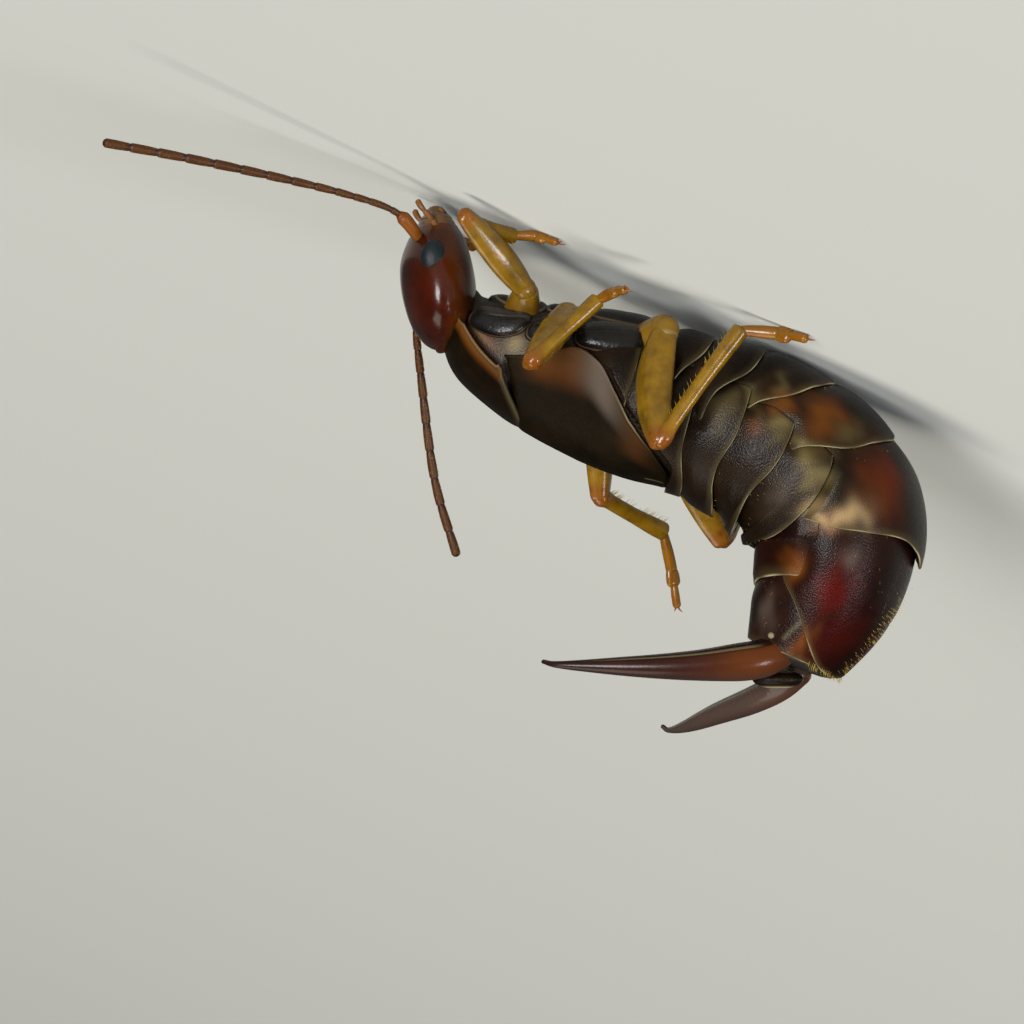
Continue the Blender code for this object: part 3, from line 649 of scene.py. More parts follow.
# %% Hind margins by angle
TERGITE_STEP, TERGITE_END = 30.0, 120.0  # degrees between the numbers of a margin, and the last of them
TERGITES = {
    1: (3.60, 3.60, 3.55, 3.55, 3.55),
    2: (4.55, 4.45, 4.30, 4.25, 4.25),
    3: (5.35, 5.27, 5.03, 4.97, 4.95),
    4: (6.25, 6.12, 5.93, 6.07, 6.02),
    5: (7.45, 7.25, 7.05, 7.14, 6.96),
    6: (9.55, 9.45, 8.95, 8.40, 7.78),
    7: (10.30, 10.20, 10.02, 9.86, 9.65),
    10: (11.0, 11.0, 11.0, 11.0, 11.0),
}
STERNITE_START, STERNITE_STEP = 80.0, 25.0  # from the side to the middle of the belly
STERNITES = {
    2: (4.30, 4.45, 4.85, 5.00, 5.05),
    3: (5.20, 5.35, 5.85, 6.00, 6.05),
    4: (5.95, 6.08, 6.72, 6.97, 7.15),
    5: (6.95, 7.28, 7.80, 7.95, 8.02),
    6: (8.35, 8.82, 8.96, 9.01, 9.04),
    7: (9.90, 10.38, 10.74, 10.97, 11.03),
}
LEFT_LOBE = {6: 0.24}  # rows that a sternite reaches further back on the left, as the tail twists away
SIDE_LINE = {1: 118, 2: 120, 3: 120, 4: 120, 5: 116, 6: 121, 7: 98, 10: 150}  # angle of a tergite's end
OVERLAP = 0.28  # rows of the next plate that lie hidden under each margin
FIRST_LENGTH = 1.0  # rows of a plate that has none before it
PLATE_LIFT, PLATE_SINK = 0.045, 0.05  # millimetres above the trunk at the margin, and below it in front
PLATE_THICK = 0.026
RIM_WIDTH = 0.009  # of the pale line at the margin
FREE_RIM = 0.10  # near its margin a plate is thin and stands free of the next one
BAND_WIDTH = 0.13  # of the tan band before the pale line
BACK_SPREAD = 48.0  # degrees to either side of the back's middle over which the stand-off fades
HOLLOW_ROWS, HOLLOW_TURNS = (9.35, 0.55), (185, 55)  # middle and spread of the hollow in the belly
STAND_OFF = {4: 0.07, 5: 0.18, 6: 0.20}  # how far free margins stand off the back where it bends most
PLATE_ROWS = 1 - (1 - shares(48)[:, None]) ** 1.8  # shares of the way to the margin, denser near it
PLATE_COLUMNS = bunched(121)


def tergite_margin(number, degrees):
    """The row of a tergite's hind margin at each angle, on a smooth curve through equal steps of angle."""
    steps = np.minimum(np.abs(degrees), TERGITE_END) / TERGITE_STEP
    return rows_at(np.array(TERGITES[number])[:, None], steps)[:, 0]


def sternite_margin(number, degrees):
    """The same for a sternite, whose steps begin at the side."""
    steps = (np.maximum(np.abs(degrees), STERNITE_START) - STERNITE_START) / STERNITE_STEP
    return rows_at(np.array(STERNITES[number])[:, None], steps)[:, 0]


def hidden_to(number, degrees):
    """The row up to which a ring hides the next one: the larger of its two hind margins."""
    row = tergite_margin(number, degrees)
    if number not in STERNITES:
        return row
    below = np.abs(degrees) > STERNITE_START
    return np.where(below, np.maximum(row, sternite_margin(number, degrees)), row)


def body_plate(front, hind, angles, own_lift, stand_off=0.0, hollow=0.0, tucked=0.0, tuck_row=0.0):
    """A plate between two margins. Its lift runs from -sink at the front to +lift at the margin, where a
    column's own lift scales what stands above the trunk. To it come the stand-off near the middle of the
    back, minus a hollow at the belly behind its front, minus the depth that its tucked columns lie under
    the plate above up to the tuck row. It falls in a quarter circle over the last stretch, so that the
    rim is rounded, and there its inner face stands free."""
    u = PLATE_ROWS
    at = front + (hind - front) * u
    length = np.linalg.norm(trunk_point(hind, angles) - trunk_point(front, angles), axis=-1) + 1e-6
    to_rim = (1 - u) * length
    share = 1 - np.clip(to_rim / PLATE_THICK, 0, 1)
    rounding = PLATE_THICK * (1 - np.sqrt(np.clip(1 - share**2, 0, 1)))
    lift = -PLATE_SINK + (PLATE_LIFT + PLATE_SINK) * ease(0.0, 0.55, u) + 0.02 * np.sin(math.pi * u)
    lift = np.where(lift > 0, lift * own_lift, lift)
    lift = lift + stand_off * u**2 * bell(angles, 0, BACK_SPREAD)
    lift = lift - hollow * bell(at, *HOLLOW_ROWS) * bell(np.abs(angles), *HOLLOW_TURNS)
    lift = lift - tucked * (1 - ease(-0.05, 0.30, at - tuck_row))
    free = 1 - ease(FREE_RIM / 2, FREE_RIM, to_rim)
    inner_lift = (1 - free) * np.minimum(lift - 0.02, -0.03 - PLATE_THICK) + free * (lift - 0.03)
    outer = trunk_point(at, angles, lift - rounding, shield_roof)
    inner = trunk_point(at, angles, inner_lift, under_roof)
    paint = patches(at, angles)
    faint = 0.50 + 0.30 * np.sin(angles * 0.21 + hind)
    paint["rim"] = faint * bell(to_rim, 0, RIM_WIDTH)
    paint["tan"] = np.maximum(paint["tan"], 0.20 * (1 - ease(0.0, BAND_WIDTH, to_rim)))
    return plate(outer, inner, paint)


def ring_look(number):
    """Finish and slot of a ring's plates."""
    return (tail_finish, "tip") if number > 6 else (plate_finish, "abdomen")


# %% The plates above
for number in TERGITES:
    angles = SIDE_LINE[number] * PLATE_COLUMNS
    turn = np.abs(angles)
    edge = turn / SIDE_LINE[number]
    hind = tergite_margin(number, angles)
    before = [n for n in TERGITES if n < number]
    front = hidden_to(before[-1], angles) - OVERLAP if before else hind - FIRST_LENGTH
    own_lift = 1 - 0.5 * ease(0.985, 1.0, edge)
    if number == 7:
        own_lift = 1 - 0.9 * ease(0.88, 1.0, edge)
    if number == 10:
        own_lift = 1 - 0.8 * ease(60, 84, turn)
    tucked, tuck_row = 0.0, 0.0
    if number - 1 in STERNITES:
        tucked = 0.10 * ease(98, 112, turn)
        tuck_row = sternite_margin(number - 1, angles)
    shape = body_plate(front, hind, angles, own_lift, STAND_OFF.get(number, 0.0), 0.0, tucked, tuck_row)
    nodes = ["abdomen_" + str(number)] if number > 2 else []
    if number == 10:
        nodes = ["last_tergite"]
        row = front + (hind - front) * PLATE_ROWS
        branch = 0.12 * stroke(row, turn / 60, (10.42, 1.88), (10.80, 1.70), 0.035)
        shape[3]["rim"] = np.maximum(shape[3]["rim"], np.tile(branch.ravel(), 2))
    piece("tergite_" + str(number), shape, *ring_look(number), nodes)
print("tergites", faces_of("tergite"), "faces")

# %% The plates below
half = 180 - STERNITE_START
for number in STERNITES:
    angles = 180 + half * PLATE_COLUMNS
    folded = 180 - np.abs(angles - 180)
    hind = sternite_margin(number, folded) + LEFT_LOBE.get(number, 0.0) * bell(angles, 150, 27)
    front = sternite_margin(number - 1, folded) - OVERLAP if number - 1 in STERNITES else hind - FIRST_LENGTH
    angles = np.where(angles > 180, angles - 360, angles)
    own_lift = ease(0.0, 0.12, (folded - STERNITE_START) / half) if number < 7 else np.ones_like(folded)
    hollow, depth = (0.11, 0.05) if number == 7 else (0.0, 0.12)
    tucked = depth * (1 - ease(SIDE_LINE[number] - 8, SIDE_LINE[number] + 10, folded))
    shape = body_plate(front, hind, angles, own_lift, 0.0, hollow, tucked, tergite_margin(number, folded))
    piece("sternite_" + str(number), shape, *ring_look(number), ["last_sternite"] if number == 7 else [])
print("sternites", faces_of("sternite"), "faces")

# %% [markdown]
# ## Plates of the thorax
# The sides and the underside of the thorax are glossy black pillows with narrow grooves between them,
# to which the legs are hinged. Each is a raised patch on the trunk: its lift is highest in the middle
# and sinks below the skin at its edges, by one minus the sixth power of each of its two shares.

# %% Raised pillows on the trunk
THORAX_PLATES = {  # middle row, half length in rows, middle angle, half width in degrees, slant, lift
    "propleuron": (0.72, 0.60, 100, 23, 12, 0.07),
    "prosternum": (0.80, 0.66, 158, 30, 0, 0.04),
    "mesopleuron": (1.74, 0.46, 118, 20, 6, 0.07),
    "mesosternum": (1.85, 0.52, 166, 26, 0, 0.05),
    "metapleuron": (2.92, 0.74, 124, 17, 4, 0.09),
    "metasternum": (3.05, 0.74, 164, 22, 0, 0.05),
}


def pillow(row, half_rows, angle, half_turn, slant, lift, sign):
    """A closed patch: lift * (1 - p^6)(1 - q^6) - 0.06 over p and q from -1 to 1, with p^6 and q^6
    the sixth powers of its shares along and around the trunk, a low crest and a groove lengthwise."""
    p = bunched(48)[:, None]
    q = bunched(48)[None, :]
    at = np.clip(row + half_rows * p * np.sqrt(1 - 0.30 * q**2), 0.0, None)
    degrees = sign * (angle + half_turn * q * np.sqrt(1 - 0.45 * p**2) + slant * p)
    crest = 1 + 0.5 * bell(q - 0.2 * p, -0.1, 0.45)
    height = (lift * crest + 0.06) * (1 - p**6) * (1 - q**6) - 0.06
    height = height - 0.035 * bell(q - 0.25 * p, 0.10, 0.09) * (1 - p**4)
    outer = trunk_point(at, degrees, height)
    inner = trunk_point(at, degrees, np.minimum(height, 0) - 0.08)
    rim = 0.45 * bell(height, -0.008, 0.010) * ease(-0.4, 0.6, -q)
    # The mauve band along one side of each pillow is a painted highlight; the pale and amber line on its
    # lower edge is the plate's own colour.
    return plate(outer, inner, {"rim": 0.3 * rim, "amber": rim, "sheen_and_mauve_tint": 0.25 * bell(q, 0.5, 0.3) + 0 * p})


for plate_name, values in THORAX_PLATES.items():
    for side_name, sign in SIDES:
        piece(plate_name + "_" + side_name, pillow(*values, sign), thorax_finish, "thorax")
print(2 * len(THORAX_PLATES), "plates on the thorax")

# %% [markdown]
# ## The head
# An earwig's head hangs down from the neck with its mouth forward. It is heart-shaped from above,
# smooth and polished, with a fine seam down its crown that forks towards the feelers. It is one tube of
# rings along its own axis. The eyes are flat, faceted domes set into its sides.

# %% The head's own directions
HEAD_CENTRE = np.array((2.21, 0.0, 1.27))
HEAD_FORWARD = unit(np.array((0.44, 0.0, -0.898)))
HEAD_LEFT = np.array((0.0, 1.0, 0.0))
HEAD_UP = np.cross(HEAD_FORWARD, HEAD_LEFT)
# Rows of: distance towards the mouth, half width, reach up, reach down
HEAD = np.array([
    (-1.00, 0.24, 0.08, 0.12), (-0.94, 0.47, 0.19, 0.25), (-0.83, 0.71, 0.30, 0.38),
    (-0.56, 0.97, 0.46, 0.53), (-0.10, 1.08, 0.57, 0.59), (0.35, 1.00, 0.58, 0.54),
    (0.70, 0.76, 0.46, 0.45), (0.88, 0.58, 0.34, 0.36),
])
MOUTH = np.array([
    (0.86, 0.56, 0.32, 0.32), (0.98, 0.50, 0.28, 0.30), (1.08, 0.40, 0.22, 0.24), (1.16, 0.26, 0.14, 0.16),
])


def place_by(centre, axes):
    """A function of three amounts: centre + first axis * x + second axis * y + third axis * z."""

    def place(*amounts):
        x, y, z = (amount[..., None] for amount in np.broadcast_arrays(*amounts))
        return centre + x * axes[0] + y * axes[1] + z * axes[2]

    return place


head_point = place_by(HEAD_CENTRE, (HEAD_FORWARD, HEAD_LEFT, HEAD_UP))


def head_sizes(table, count, around):
    """Distance, half width, and the reach up or down on each side of the ring, at steps of a table."""
    distance, half_width, up, down = rows_at(table, np.linspace(0, len(table) - 1, count)).T[..., None]
    return distance + 0 * around, half_width, up, np.where(np.cos(around) > 0, up, down)


# %% The head capsule
around = ring_angles(128)
distance, half_width, reach_up, reach = head_sizes(HEAD, 120, around)
side = np.sin(around) * half_width
height = np.cos(around) * reach
FORK = 0.12  # where the crown's seam divides
crown_seam = stroke(distance, side, (-1.1, 0.0), (FORK, 0.0), 0.014)
for fork_side in (-1, 1):
    crown_seam = np.maximum(crown_seam, stroke(distance, side, (FORK, 0.0), (0.55, 0.42 * fork_side), 0.012))
crown_seam = crown_seam * (height > 0)
temple = 0.03 * bell(distance, -0.45, 0.35) * np.abs(np.sin(around)) ** 3
scale = 1 + temple - 0.010 * crown_seam / np.hypot(half_width, reach_up)
glow = np.maximum(0.45 * ease(0.72, 0.9, distance), 0.40 * bell(np.cos(around), -0.55, 0.35))
head_paint = {
    "ruby": 0.25 * bell(distance, -0.35, 0.5) * np.abs(np.sin(around)) ** 2,
    "amber": 0.35 * crown_seam + glow,
}
shape = tube(head_point(distance, side * scale, height * scale), head_paint, domes=(0.35, 0.25))
piece("head_capsule", shape, head_finish, "head", ["head"])
print("head", made["head_capsule"], "faces")

# %% The eyes
EYE_PLACE = (0.34, 0.90, 0.10)
EYE_SIZE = (0.27, 0.15, 0.20)
POLE_GAP = 0.12  # radians from the first ring to the pole


def ball(centre, size, place, rows=24, around=40):
    """An ellipsoid as rings from pole to pole: centre + size * (cos a, sin a cos b, sin a sin b)."""
    a = np.linspace(POLE_GAP, math.pi - POLE_GAP, rows)[:, None]
    b = ring_angles(around)
    x = centre[0] + size[0] * np.cos(a) + 0 * b
    y = centre[1] + size[1] * np.sin(a) * np.cos(b)
    z = centre[2] + size[2] * np.sin(a) * np.sin(b)
    return tube(place(x, y, z), domes=(0.06, 0.06))


for side_name, sign in SIDES:
    eye = ball((EYE_PLACE[0], sign * EYE_PLACE[1], EYE_PLACE[2]), EYE_SIZE, head_point)
    piece("eye_dome_" + side_name, eye, eye_finish, "eye", ["eye_" + side_name])
print("eyes", made["eye_dome_right"], "faces each")

# %% [markdown]
# ## Limbs
# Feelers, palps, legs and forceps are all profiles carried along a path. A path is a short list of
# places joined by a smooth curve, resampled at equal lengths. At each place an oval ring stands square
# to the path, wide in one chosen direction. Joints, knees and necks are only changes of the ring's size.

# %% Paths and rings along them
ANY_SIDE = np.array((0.12, 0.35, 0.93))  # a direction that no round limb runs along


def path_points(points, count):
    """The smooth curve through some points, at equal steps of its length, and its length."""
    points = np.asarray(points, float)
    dense = rows_at(points, np.linspace(0, len(points) - 1, 400))
    gone = np.append(0, np.cumsum(np.linalg.norm(np.diff(dense, axis=0), axis=1)))
    wanted = np.linspace(0, gone[-1], count)
    return np.column_stack([np.interp(wanted, gone, dense[:, k]) for k in range(3)]), gone[-1]


def straight(start, end, count, bow=0.0, bow_to=(0, 0, 0)):
    """Places from start to end, bowed by bow * sin(pi * share) towards a direction."""
    share = shares(count)[:, None]
    return start + (end - start) * share + bow * np.sin(math.pi * share) * np.asarray(bow_to)


def rings_along(centres, wide, deep, normal, around=28, shape=None):
    """Rings square to a path: centre + across * wide * cos(a) + normal * deep * sin(a)."""
    along = unit(np.gradient(centres, axis=0))
    across = unit(np.cross(normal, along))
    square = np.cross(along, across)
    angle = ring_angles(around)
    grown = 1.0 if shape is None else shape(shares(len(centres))[:, None], angle)
    x = (np.cos(angle) * np.asarray(wide)[:, None] * grown)[..., None]
    y = (np.sin(angle) * np.asarray(deep)[:, None] * grown)[..., None]
    return centres[:, None, :] + x * across[:, None, :] + y * square[:, None, :]


def limb(centres, radius, normal, channels=None, around=28, flat=1.0):
    """A closed limb along a path, with its depth a share of its width."""
    return tube(rings_along(centres, radius, flat * radius, normal, around), channels)


def bead_radius(gone, joints, radius, neck):
    """Radius along a jointed limb. In each segment it rises from the neck's share by a power of the way
    along it and closes in a short round end: radius * (neck + (1 - neck) * sqrt(1 - (1 - t)^2) * end)."""
    joints = np.asarray(joints)
    number = np.clip(np.searchsorted(joints, gone, side="right") - 1, 0, len(joints) - 2)
    t = np.clip((gone - joints[number]) / (joints[number + 1] - joints[number]), 0, 1)
    rise = np.sqrt(1 - (1 - np.clip(t / 0.8, 0, 1)) ** 2)
    close = np.sqrt(np.clip(1 - np.clip((t - 0.9) / 0.1, 0, 1) ** 2, 0, 1))
    return radius * (neck + (1 - neck) * rise * close), t


# %% [markdown]
# ## Feelers
# The feeler has a thick first joint, the scape, then a tiny second one and a whip of a dozen joints that
# grow longer towards the tip. Each joint is narrow and dark where it begins and swells to a rounded end,
# like a string of clubs. Fine pale hairs stand on them.

# %% Scape, second joint and whip
ANTENNAE = {
    "right": [
        (2.72, -0.48, 0.80), (3.27, -0.86, 0.60), (4.10, -1.12, 0.70),
        (5.35, -1.45, 0.98), (6.60, -1.78, 1.30), (7.80, -2.05, 1.63),
    ],
    "left": [
        (2.72, 0.48, 0.82), (2.66, 1.10, 1.02), (2.36, 1.58, 1.66),
        (1.92, 1.95, 2.40), (1.05, 2.45, 3.77), (0.24, 2.78, 4.70),
    ],
}
SCAPE_LENGTH = 0.62
WHIP_SHARES = np.array((0.4, 0.95, 0.62, 0.74, 0.84, 0.92, 1.0, 1.04, 1.08, 1.10, 1.10, 1.08, 1.0))
FEELER_RADIUS = 0.074
FEELER_STEPS = 620
feeler_rings = {}

for side_name, points in ANTENNAE.items():
    centres, length = path_points(points, FEELER_STEPS)
    gone = np.linspace(0, length, FEELER_STEPS)
    scape, whip = gone <= SCAPE_LENGTH, gone >= SCAPE_LENGTH
    s = gone[scape] / SCAPE_LENGTH
    scape_radius = 0.07 + 0.045 * np.sqrt(s) - 0.04 * ease(0.85, 1.0, s)
    scape_paint = {"amber": 0.80, "ruby": 0.4 * ease(0.8, 1.0, s)[:, None]}
    node = "antenna_" + side_name
    shape = limb(centres[scape], scape_radius, ANY_SIDE, scape_paint)
    piece("feeler_" + side_name + "_scape", shape, feeler_finish, "feeler", [node + "_scape"])
    whip_length = length - SCAPE_LENGTH
    joints = SCAPE_LENGTH + np.append(0, np.cumsum(WHIP_SHARES) / WHIP_SHARES.sum()) * whip_length
    radius, t = bead_radius(gone[whip], joints, FEELER_RADIUS, 0.74)
    radius = radius * (0.74 + 0.26 * ease(0.0, 0.6, (gone[whip] - SCAPE_LENGTH) / whip_length))
    dark = np.maximum(1 - ease(0.0, 0.25, t), ease(0.93, 1.0, t))[:, None]
    feeler_rings[side_name] = rings_along(centres[whip], radius, radius, ANY_SIDE, around=20)
    shape = tube(feeler_rings[side_name], {"ruby": 0.15 * dark, "amber": 0.18 * (1 - dark)})
    nodes = [node + "_inner", node + "_outer"]
    piece("feeler_" + side_name + "_whip", shape, feeler_finish, "feeler", nodes)
    print("feeler", side_name, round(length, 2), "mm long")

# %% [markdown]
# ## Mouthparts
# In front of the face lie a soft shield and the upper lip, with the tips of the dark jaws under it. Two
# pairs of jointed palps hang beside them, orange and a little translucent.

# %% Face shield, lip and jaws
around = ring_angles(64)
distance, half_width, reach_up, reach = head_sizes(MOUTH, 30, around)
lip_groove = 0.02 * bell(distance, 1.02, 0.012)
side = np.sin(around) * (half_width - lip_groove)
height = np.cos(around) * (reach - lip_groove)
shape = tube(head_point(distance, side, height), {"amber": 0.55, "cream": 0.2})
piece("face_shield_and_lip", shape, head_finish, "head", ["mouthparts"])
for side_name, sign in SIDES:
    jaw = np.array([(0.90, 0.22 * sign, -0.10), (1.06, 0.20 * sign, -0.12), (1.16, 0.05 * sign, -0.10)])
    centres = path_points(head_point(*jaw.T), 30)[0]
    radius = 0.10 * np.sqrt(1 - 0.92 * shares(30) ** 2)
    piece("jaw_" + side_name, limb(centres, radius, HEAD_UP, around=20, flat=0.8), head_finish, "head")
print("mouth", made["face_shield_and_lip"], "faces")

# %% Palps
PALPS = {  # places of the long and the short palp, radius, and where their joints lie
    "long": (
        [(2.40, 0.40, 0.66), (2.60, 0.52, 0.50), (2.78, 0.58, 0.40), (2.95, 0.60, 0.32), (3.04, 0.56, 0.25)],
        0.048,
        (0, 0.12, 0.26, 0.50, 0.74, 1.0),
    ),
    "short": ([(2.40, 0.20, 0.42), (2.55, 0.24, 0.28), (2.68, 0.22, 0.17)], 0.040, (0, 0.3, 0.6, 1.0)),
}
for palp_name, (points, radius, joints) in PALPS.items():
    for side_name, sign in SIDES:
        centres = path_points(np.array(points) * (1, sign, 1), 160)[0]
        size, t = bead_radius(shares(160), joints, radius, 0.6)
        shape = limb(centres, size, ANY_SIDE, {"amber": 0.6, "cream": 0.15}, around=20)
        nodes = ["palp_" + side_name] if palp_name == "long" else []
        piece("palp_" + palp_name + "_" + side_name, shape, feeler_finish, "feeler", nodes)
print("palps", 2 * len(PALPS))

# %% The neck
neck_centres, length = path_points([(1.20, 0, 1.52), (1.55, 0, 1.46), (1.95, 0, 1.38)], 40)
folds = 0.38 + 0.015 * np.cos(np.linspace(0, 6 * math.pi, 40))
shape = tube(rings_along(neck_centres, folds * 0.88, folds, HEAD_LEFT, around=48), {"tan": 0.3})
piece("neck_skin", shape, soft_finish, "thorax", ["neck"])
print("neck", round(length, 2), "mm")

# %% [markdown]
# ## Legs
# A leg has a stout coxa in the body, a small collar called the trochanter, a flat, strong femur, a slim
# tibia and a foot of three joints with two claws. The second joint of the foot is short and spreads
# under the third, which marks this family. Light shows through the amber cuticle, and it turns orange
# with dark spots at the knee. Every leg is made by the same function from six places.

# %% Places of the joints
# Hip inside the thorax, trochanter, knee, ankle, middle of the foot, toe
LEGS = {
    "right_front": [(0.85, -0.45, 1.2), (0.9, -0.95, 0.91), (2.25, -1.74, 0.34),
                    (1.45, -1.05, 0.22), (1.15, -1.15, 0.1), (0.8, -1.3, 0.07)],
    "right_middle": [(0.05, -0.55, 1.2), (0.2, -1.08, 1.0), (0.38, -2.5, 2.1),
                     (-0.157, -2.3, 0.793), (-0.312, -2.58, 0.637), (-0.479, -2.9, 0.55)],
    "right_hind": [(-1.15, -0.6, 0.9), (-1.3, -1.34, 0.6), (-1.93, -2.2, 2.38),
                   (-2.37, -2.3, 0.3), (-2.93, -2.46, 0.13), (-3.32, -2.76, 0.07)],
    "left_front": [(0.95, 0.45, 1.2), (0.95, 1.02, 0.92), (1.95, 2.05, 1.75),
                   (2.35, 2.5, 0.4), (2.22, 2.72, 0.11), (2.0, 3.0, 0.07)],
    "left_middle": [(-0.3, 0.6, 1.2), (-0.4, 1.45, 0.95), (-1.45, 1.98, 3.0),
                    (-2.6, 2.86, 3.0), (-2.95, 3.02, 3.45), (-3.28, 3.16, 3.95)],
    "left_hind": [(-1.25, 0.6, 0.9), (-1.65, 1.52, 0.95), (-3.5, 1.98, 2.85),
                  (-3.95, 2.6, 0.45), (-4.4, 2.8, 0.13), (-4.88, 2.98, 0.07)],
}
LEG_SIZES = {  # coxa radius, femur half width, tibia radius, foot radius, bow of the femur to the tibia
    "front": (0.30, 0.26, 0.125, 0.085, 0.02),
    "middle": (0.33, 0.29, 0.145, 0.095, 0.04),
    "hind": (0.36, 0.31, 0.145, 0.105, -0.16),
}
# Rows of: share of the way down the femur, width and depth as shares of its half width
FEMUR = np.array([
    (0.00, 0.52, 0.50), (0.10, 0.80, 0.66), (0.35, 1.00, 0.80),
    (0.60, 0.97, 0.78), (0.85, 0.78, 0.64), (1.00, 0.60, 0.50),
])
# Joints of the foot: start and end as shares of its length, width and depth as shares of its radius
FOOT_JOINTS = ((0.0, 0.52, 1.0, 0.95), (0.50, 0.70, 1.35, 0.80), (0.66, 1.0, 0.72, 0.72))
FLOOR_GAP = 0.004  # from a foot to the floor
CLAW_ROOT, CLAW_TIP = 0.026, 0.004  # radii
shin_rings = {}

# %% Pieces of a leg


def ridged(share, angle):
    """A femur's section: 1 + 0.04 * cos(4a) - 0.03 * |sin 2a|, so that its edges are low ridges."""
    return 1 + 0.04 * np.cos(4 * angle) - 0.03 * np.abs(np.sin(2 * angle)) + 0 * share


def femur(trochanter, knee, half, bow_to, square):
    """The table's widths along a bowed line, streaked lengthwise, and spotted before the orange knee."""
    share, wide, deep = rows_at(FEMUR, np.linspace(0, 5, 80)).T
    share = share[:, None]
    centres = trochanter + (knee - trochanter) * share + bow_to * np.sin(math.pi * share)
    knee_stain = ease(0.86, 1.0, share)
    turn = ring_angles(44)
    spots = 0.6 * bell(share, 0.955, 0.02) * np.sin(2.5 * turn) ** 6
    paint = {
        "amber": 0.75 * knee_stain,
        "tan": 0.14 * np.sin(7 * turn + 2.0 * share) ** 2,
        "ruby": np.maximum(0.1 * knee_stain, spots),
    }
    rings = rings_along(centres, wide * half, deep * half, square, around=44, shape=ridged)
    return tube(rings, paint, domes=(0.4, 0.7))


def foot(centres, radius, square):
    """Three joints, each growing from 0.62 of its size by the root of its share, kept above the floor."""
    s = shares(len(centres))
    lobes = []
    for start, end, wide, deep in FOOT_JOINTS:
        part = (s >= start) & (s <= end)
        swell = radius * (0.62 + 0.38 * np.sqrt(np.clip((s[part] - start) / (end - start) / 0.6, 0, 1)))
        own = centres[part].copy()
        own[:, 2] = np.maximum(own[:, 2], deep * radius + FLOOR_GAP)
        rings = rings_along(own, wide * swell, deep * swell, square, around=24)
        lobes.append(tube(rings, {"amber": 0.50, "ruby": 0.05}, domes=(0.5, 0.8)))
    return together(lobes)


def claw_pair(toe, ahead, square):
    """Two claws that spread from the toe, each on a curve through three places, tapered evenly."""
    aside = unit(np.cross(ahead, UPWARD) if abs(ahead[2]) < 0.8 else square)
    taper = np.linspace(CLAW_ROOT, CLAW_TIP, 16)
    claws = []
    for spread in (-1, 1):
        bend = toe + 0.07 * ahead + 0.05 * spread * aside
        tip = toe + 0.13 * ahead + 0.10 * spread * aside - 0.02 * UPWARD
        centres = path_points([toe, bend, tip], 16)[0]
        centres[:, 2] = np.maximum(centres[:, 2], CLAW_ROOT)
        claws.append(limb(centres, taper, np.cross(ahead, aside), {"ruby": 0.4, "amber": 0.8}, around=10))
    return together(claws)


def make_leg(name, places, sizes):
    """One leg: coxa, trochanter, femur, tibia, the three foot joints and two claws."""
    hip, trochanter, knee, ankle, middle, toe = (np.array(place) for place in places)
    coxa_radius, femur_half, tibia_radius, foot_radius, bow = sizes

    def put(part, shape, node=None):
        """Makes one piece of this leg, in place of the solid named if there is one."""
        nodes = ["leg_" + name + node] if node else []
        piece("leg_" + name + part, shape, leg_finish, "leg", nodes)

    square = unit(np.cross(knee - trochanter, ankle - knee))
    bend = unit(np.cross(square, knee - trochanter))
    thigh, shin = unit(knee - trochanter), unit(ankle - knee)
    radius = coxa_radius * (1.0 - 0.38 * shares(36) ** 1.5)
    coxa = limb(straight(hip, trochanter, 36), radius, square, {"tan": 0.15, "amber": 0.1})
    put("_coxa_cone", coxa, "_coxa")
    s = shares(24)
    collar = straight(trochanter - thigh * 0.05, trochanter + thigh * 0.30 * femur_half * 2, 24)
    radius = femur_half * (0.66 + 0.08 * np.sin(math.pi * s))
    collar_paint = {"tan": 0.15, "rim": 0.15 * ease(0.8, 0.95, s)[:, None]}
    put("_trochanter", limb(collar, radius, square, collar_paint, flat=0.85))
    put("_thigh", femur(trochanter, knee, femur_half, bend * bow, square), "_femur")
    s = shares(90)
    radius = tibia_radius * (0.86 + 0.30 * bell(s, 0.06, 0.07) + 0.16 * ease(0.5, 0.95, s))
    line = straight(knee - shin * 0.04, ankle, 90, 0.03, -bend)
    shin_rings[name] = rings_along(line, radius, 0.88 * radius, square)
    s = s[:, None]
    shin_paint = {"amber": 0.8 * (1 - ease(0.0, 0.25, s)), "ruby": 0.25 * (1 - ease(0.02, 0.12, s))}
    put("_shin", tube(shin_rings[name], shin_paint, domes=(0.6, 0.4)), "_tibia")
    centres = path_points([ankle, middle, toe], 120)[0]
    put("_foot", foot(centres, foot_radius, square), "_tarsus")
    put("_claws", claw_pair(toe, unit(centres[-1] - centres[-6]), square))


# %% The six legs
for name, places in LEGS.items():
    make_leg(name, places, LEG_SIZES[name.split("_")[1]])
print("legs", faces_of("leg_"), "faces")

# %% [markdown]
# ## Forceps and tail plate
# The forceps are the hardened tail feelers: two long blades, broad at the root, with a dark ridge along
# the edge that points to the floor, a fine light groove beside it and small teeth inside the root.
# Between them sits the pygidium, a short dark plate. A blade is a profile carried along a path, and its
# wide direction lies in the plane that both blades share.

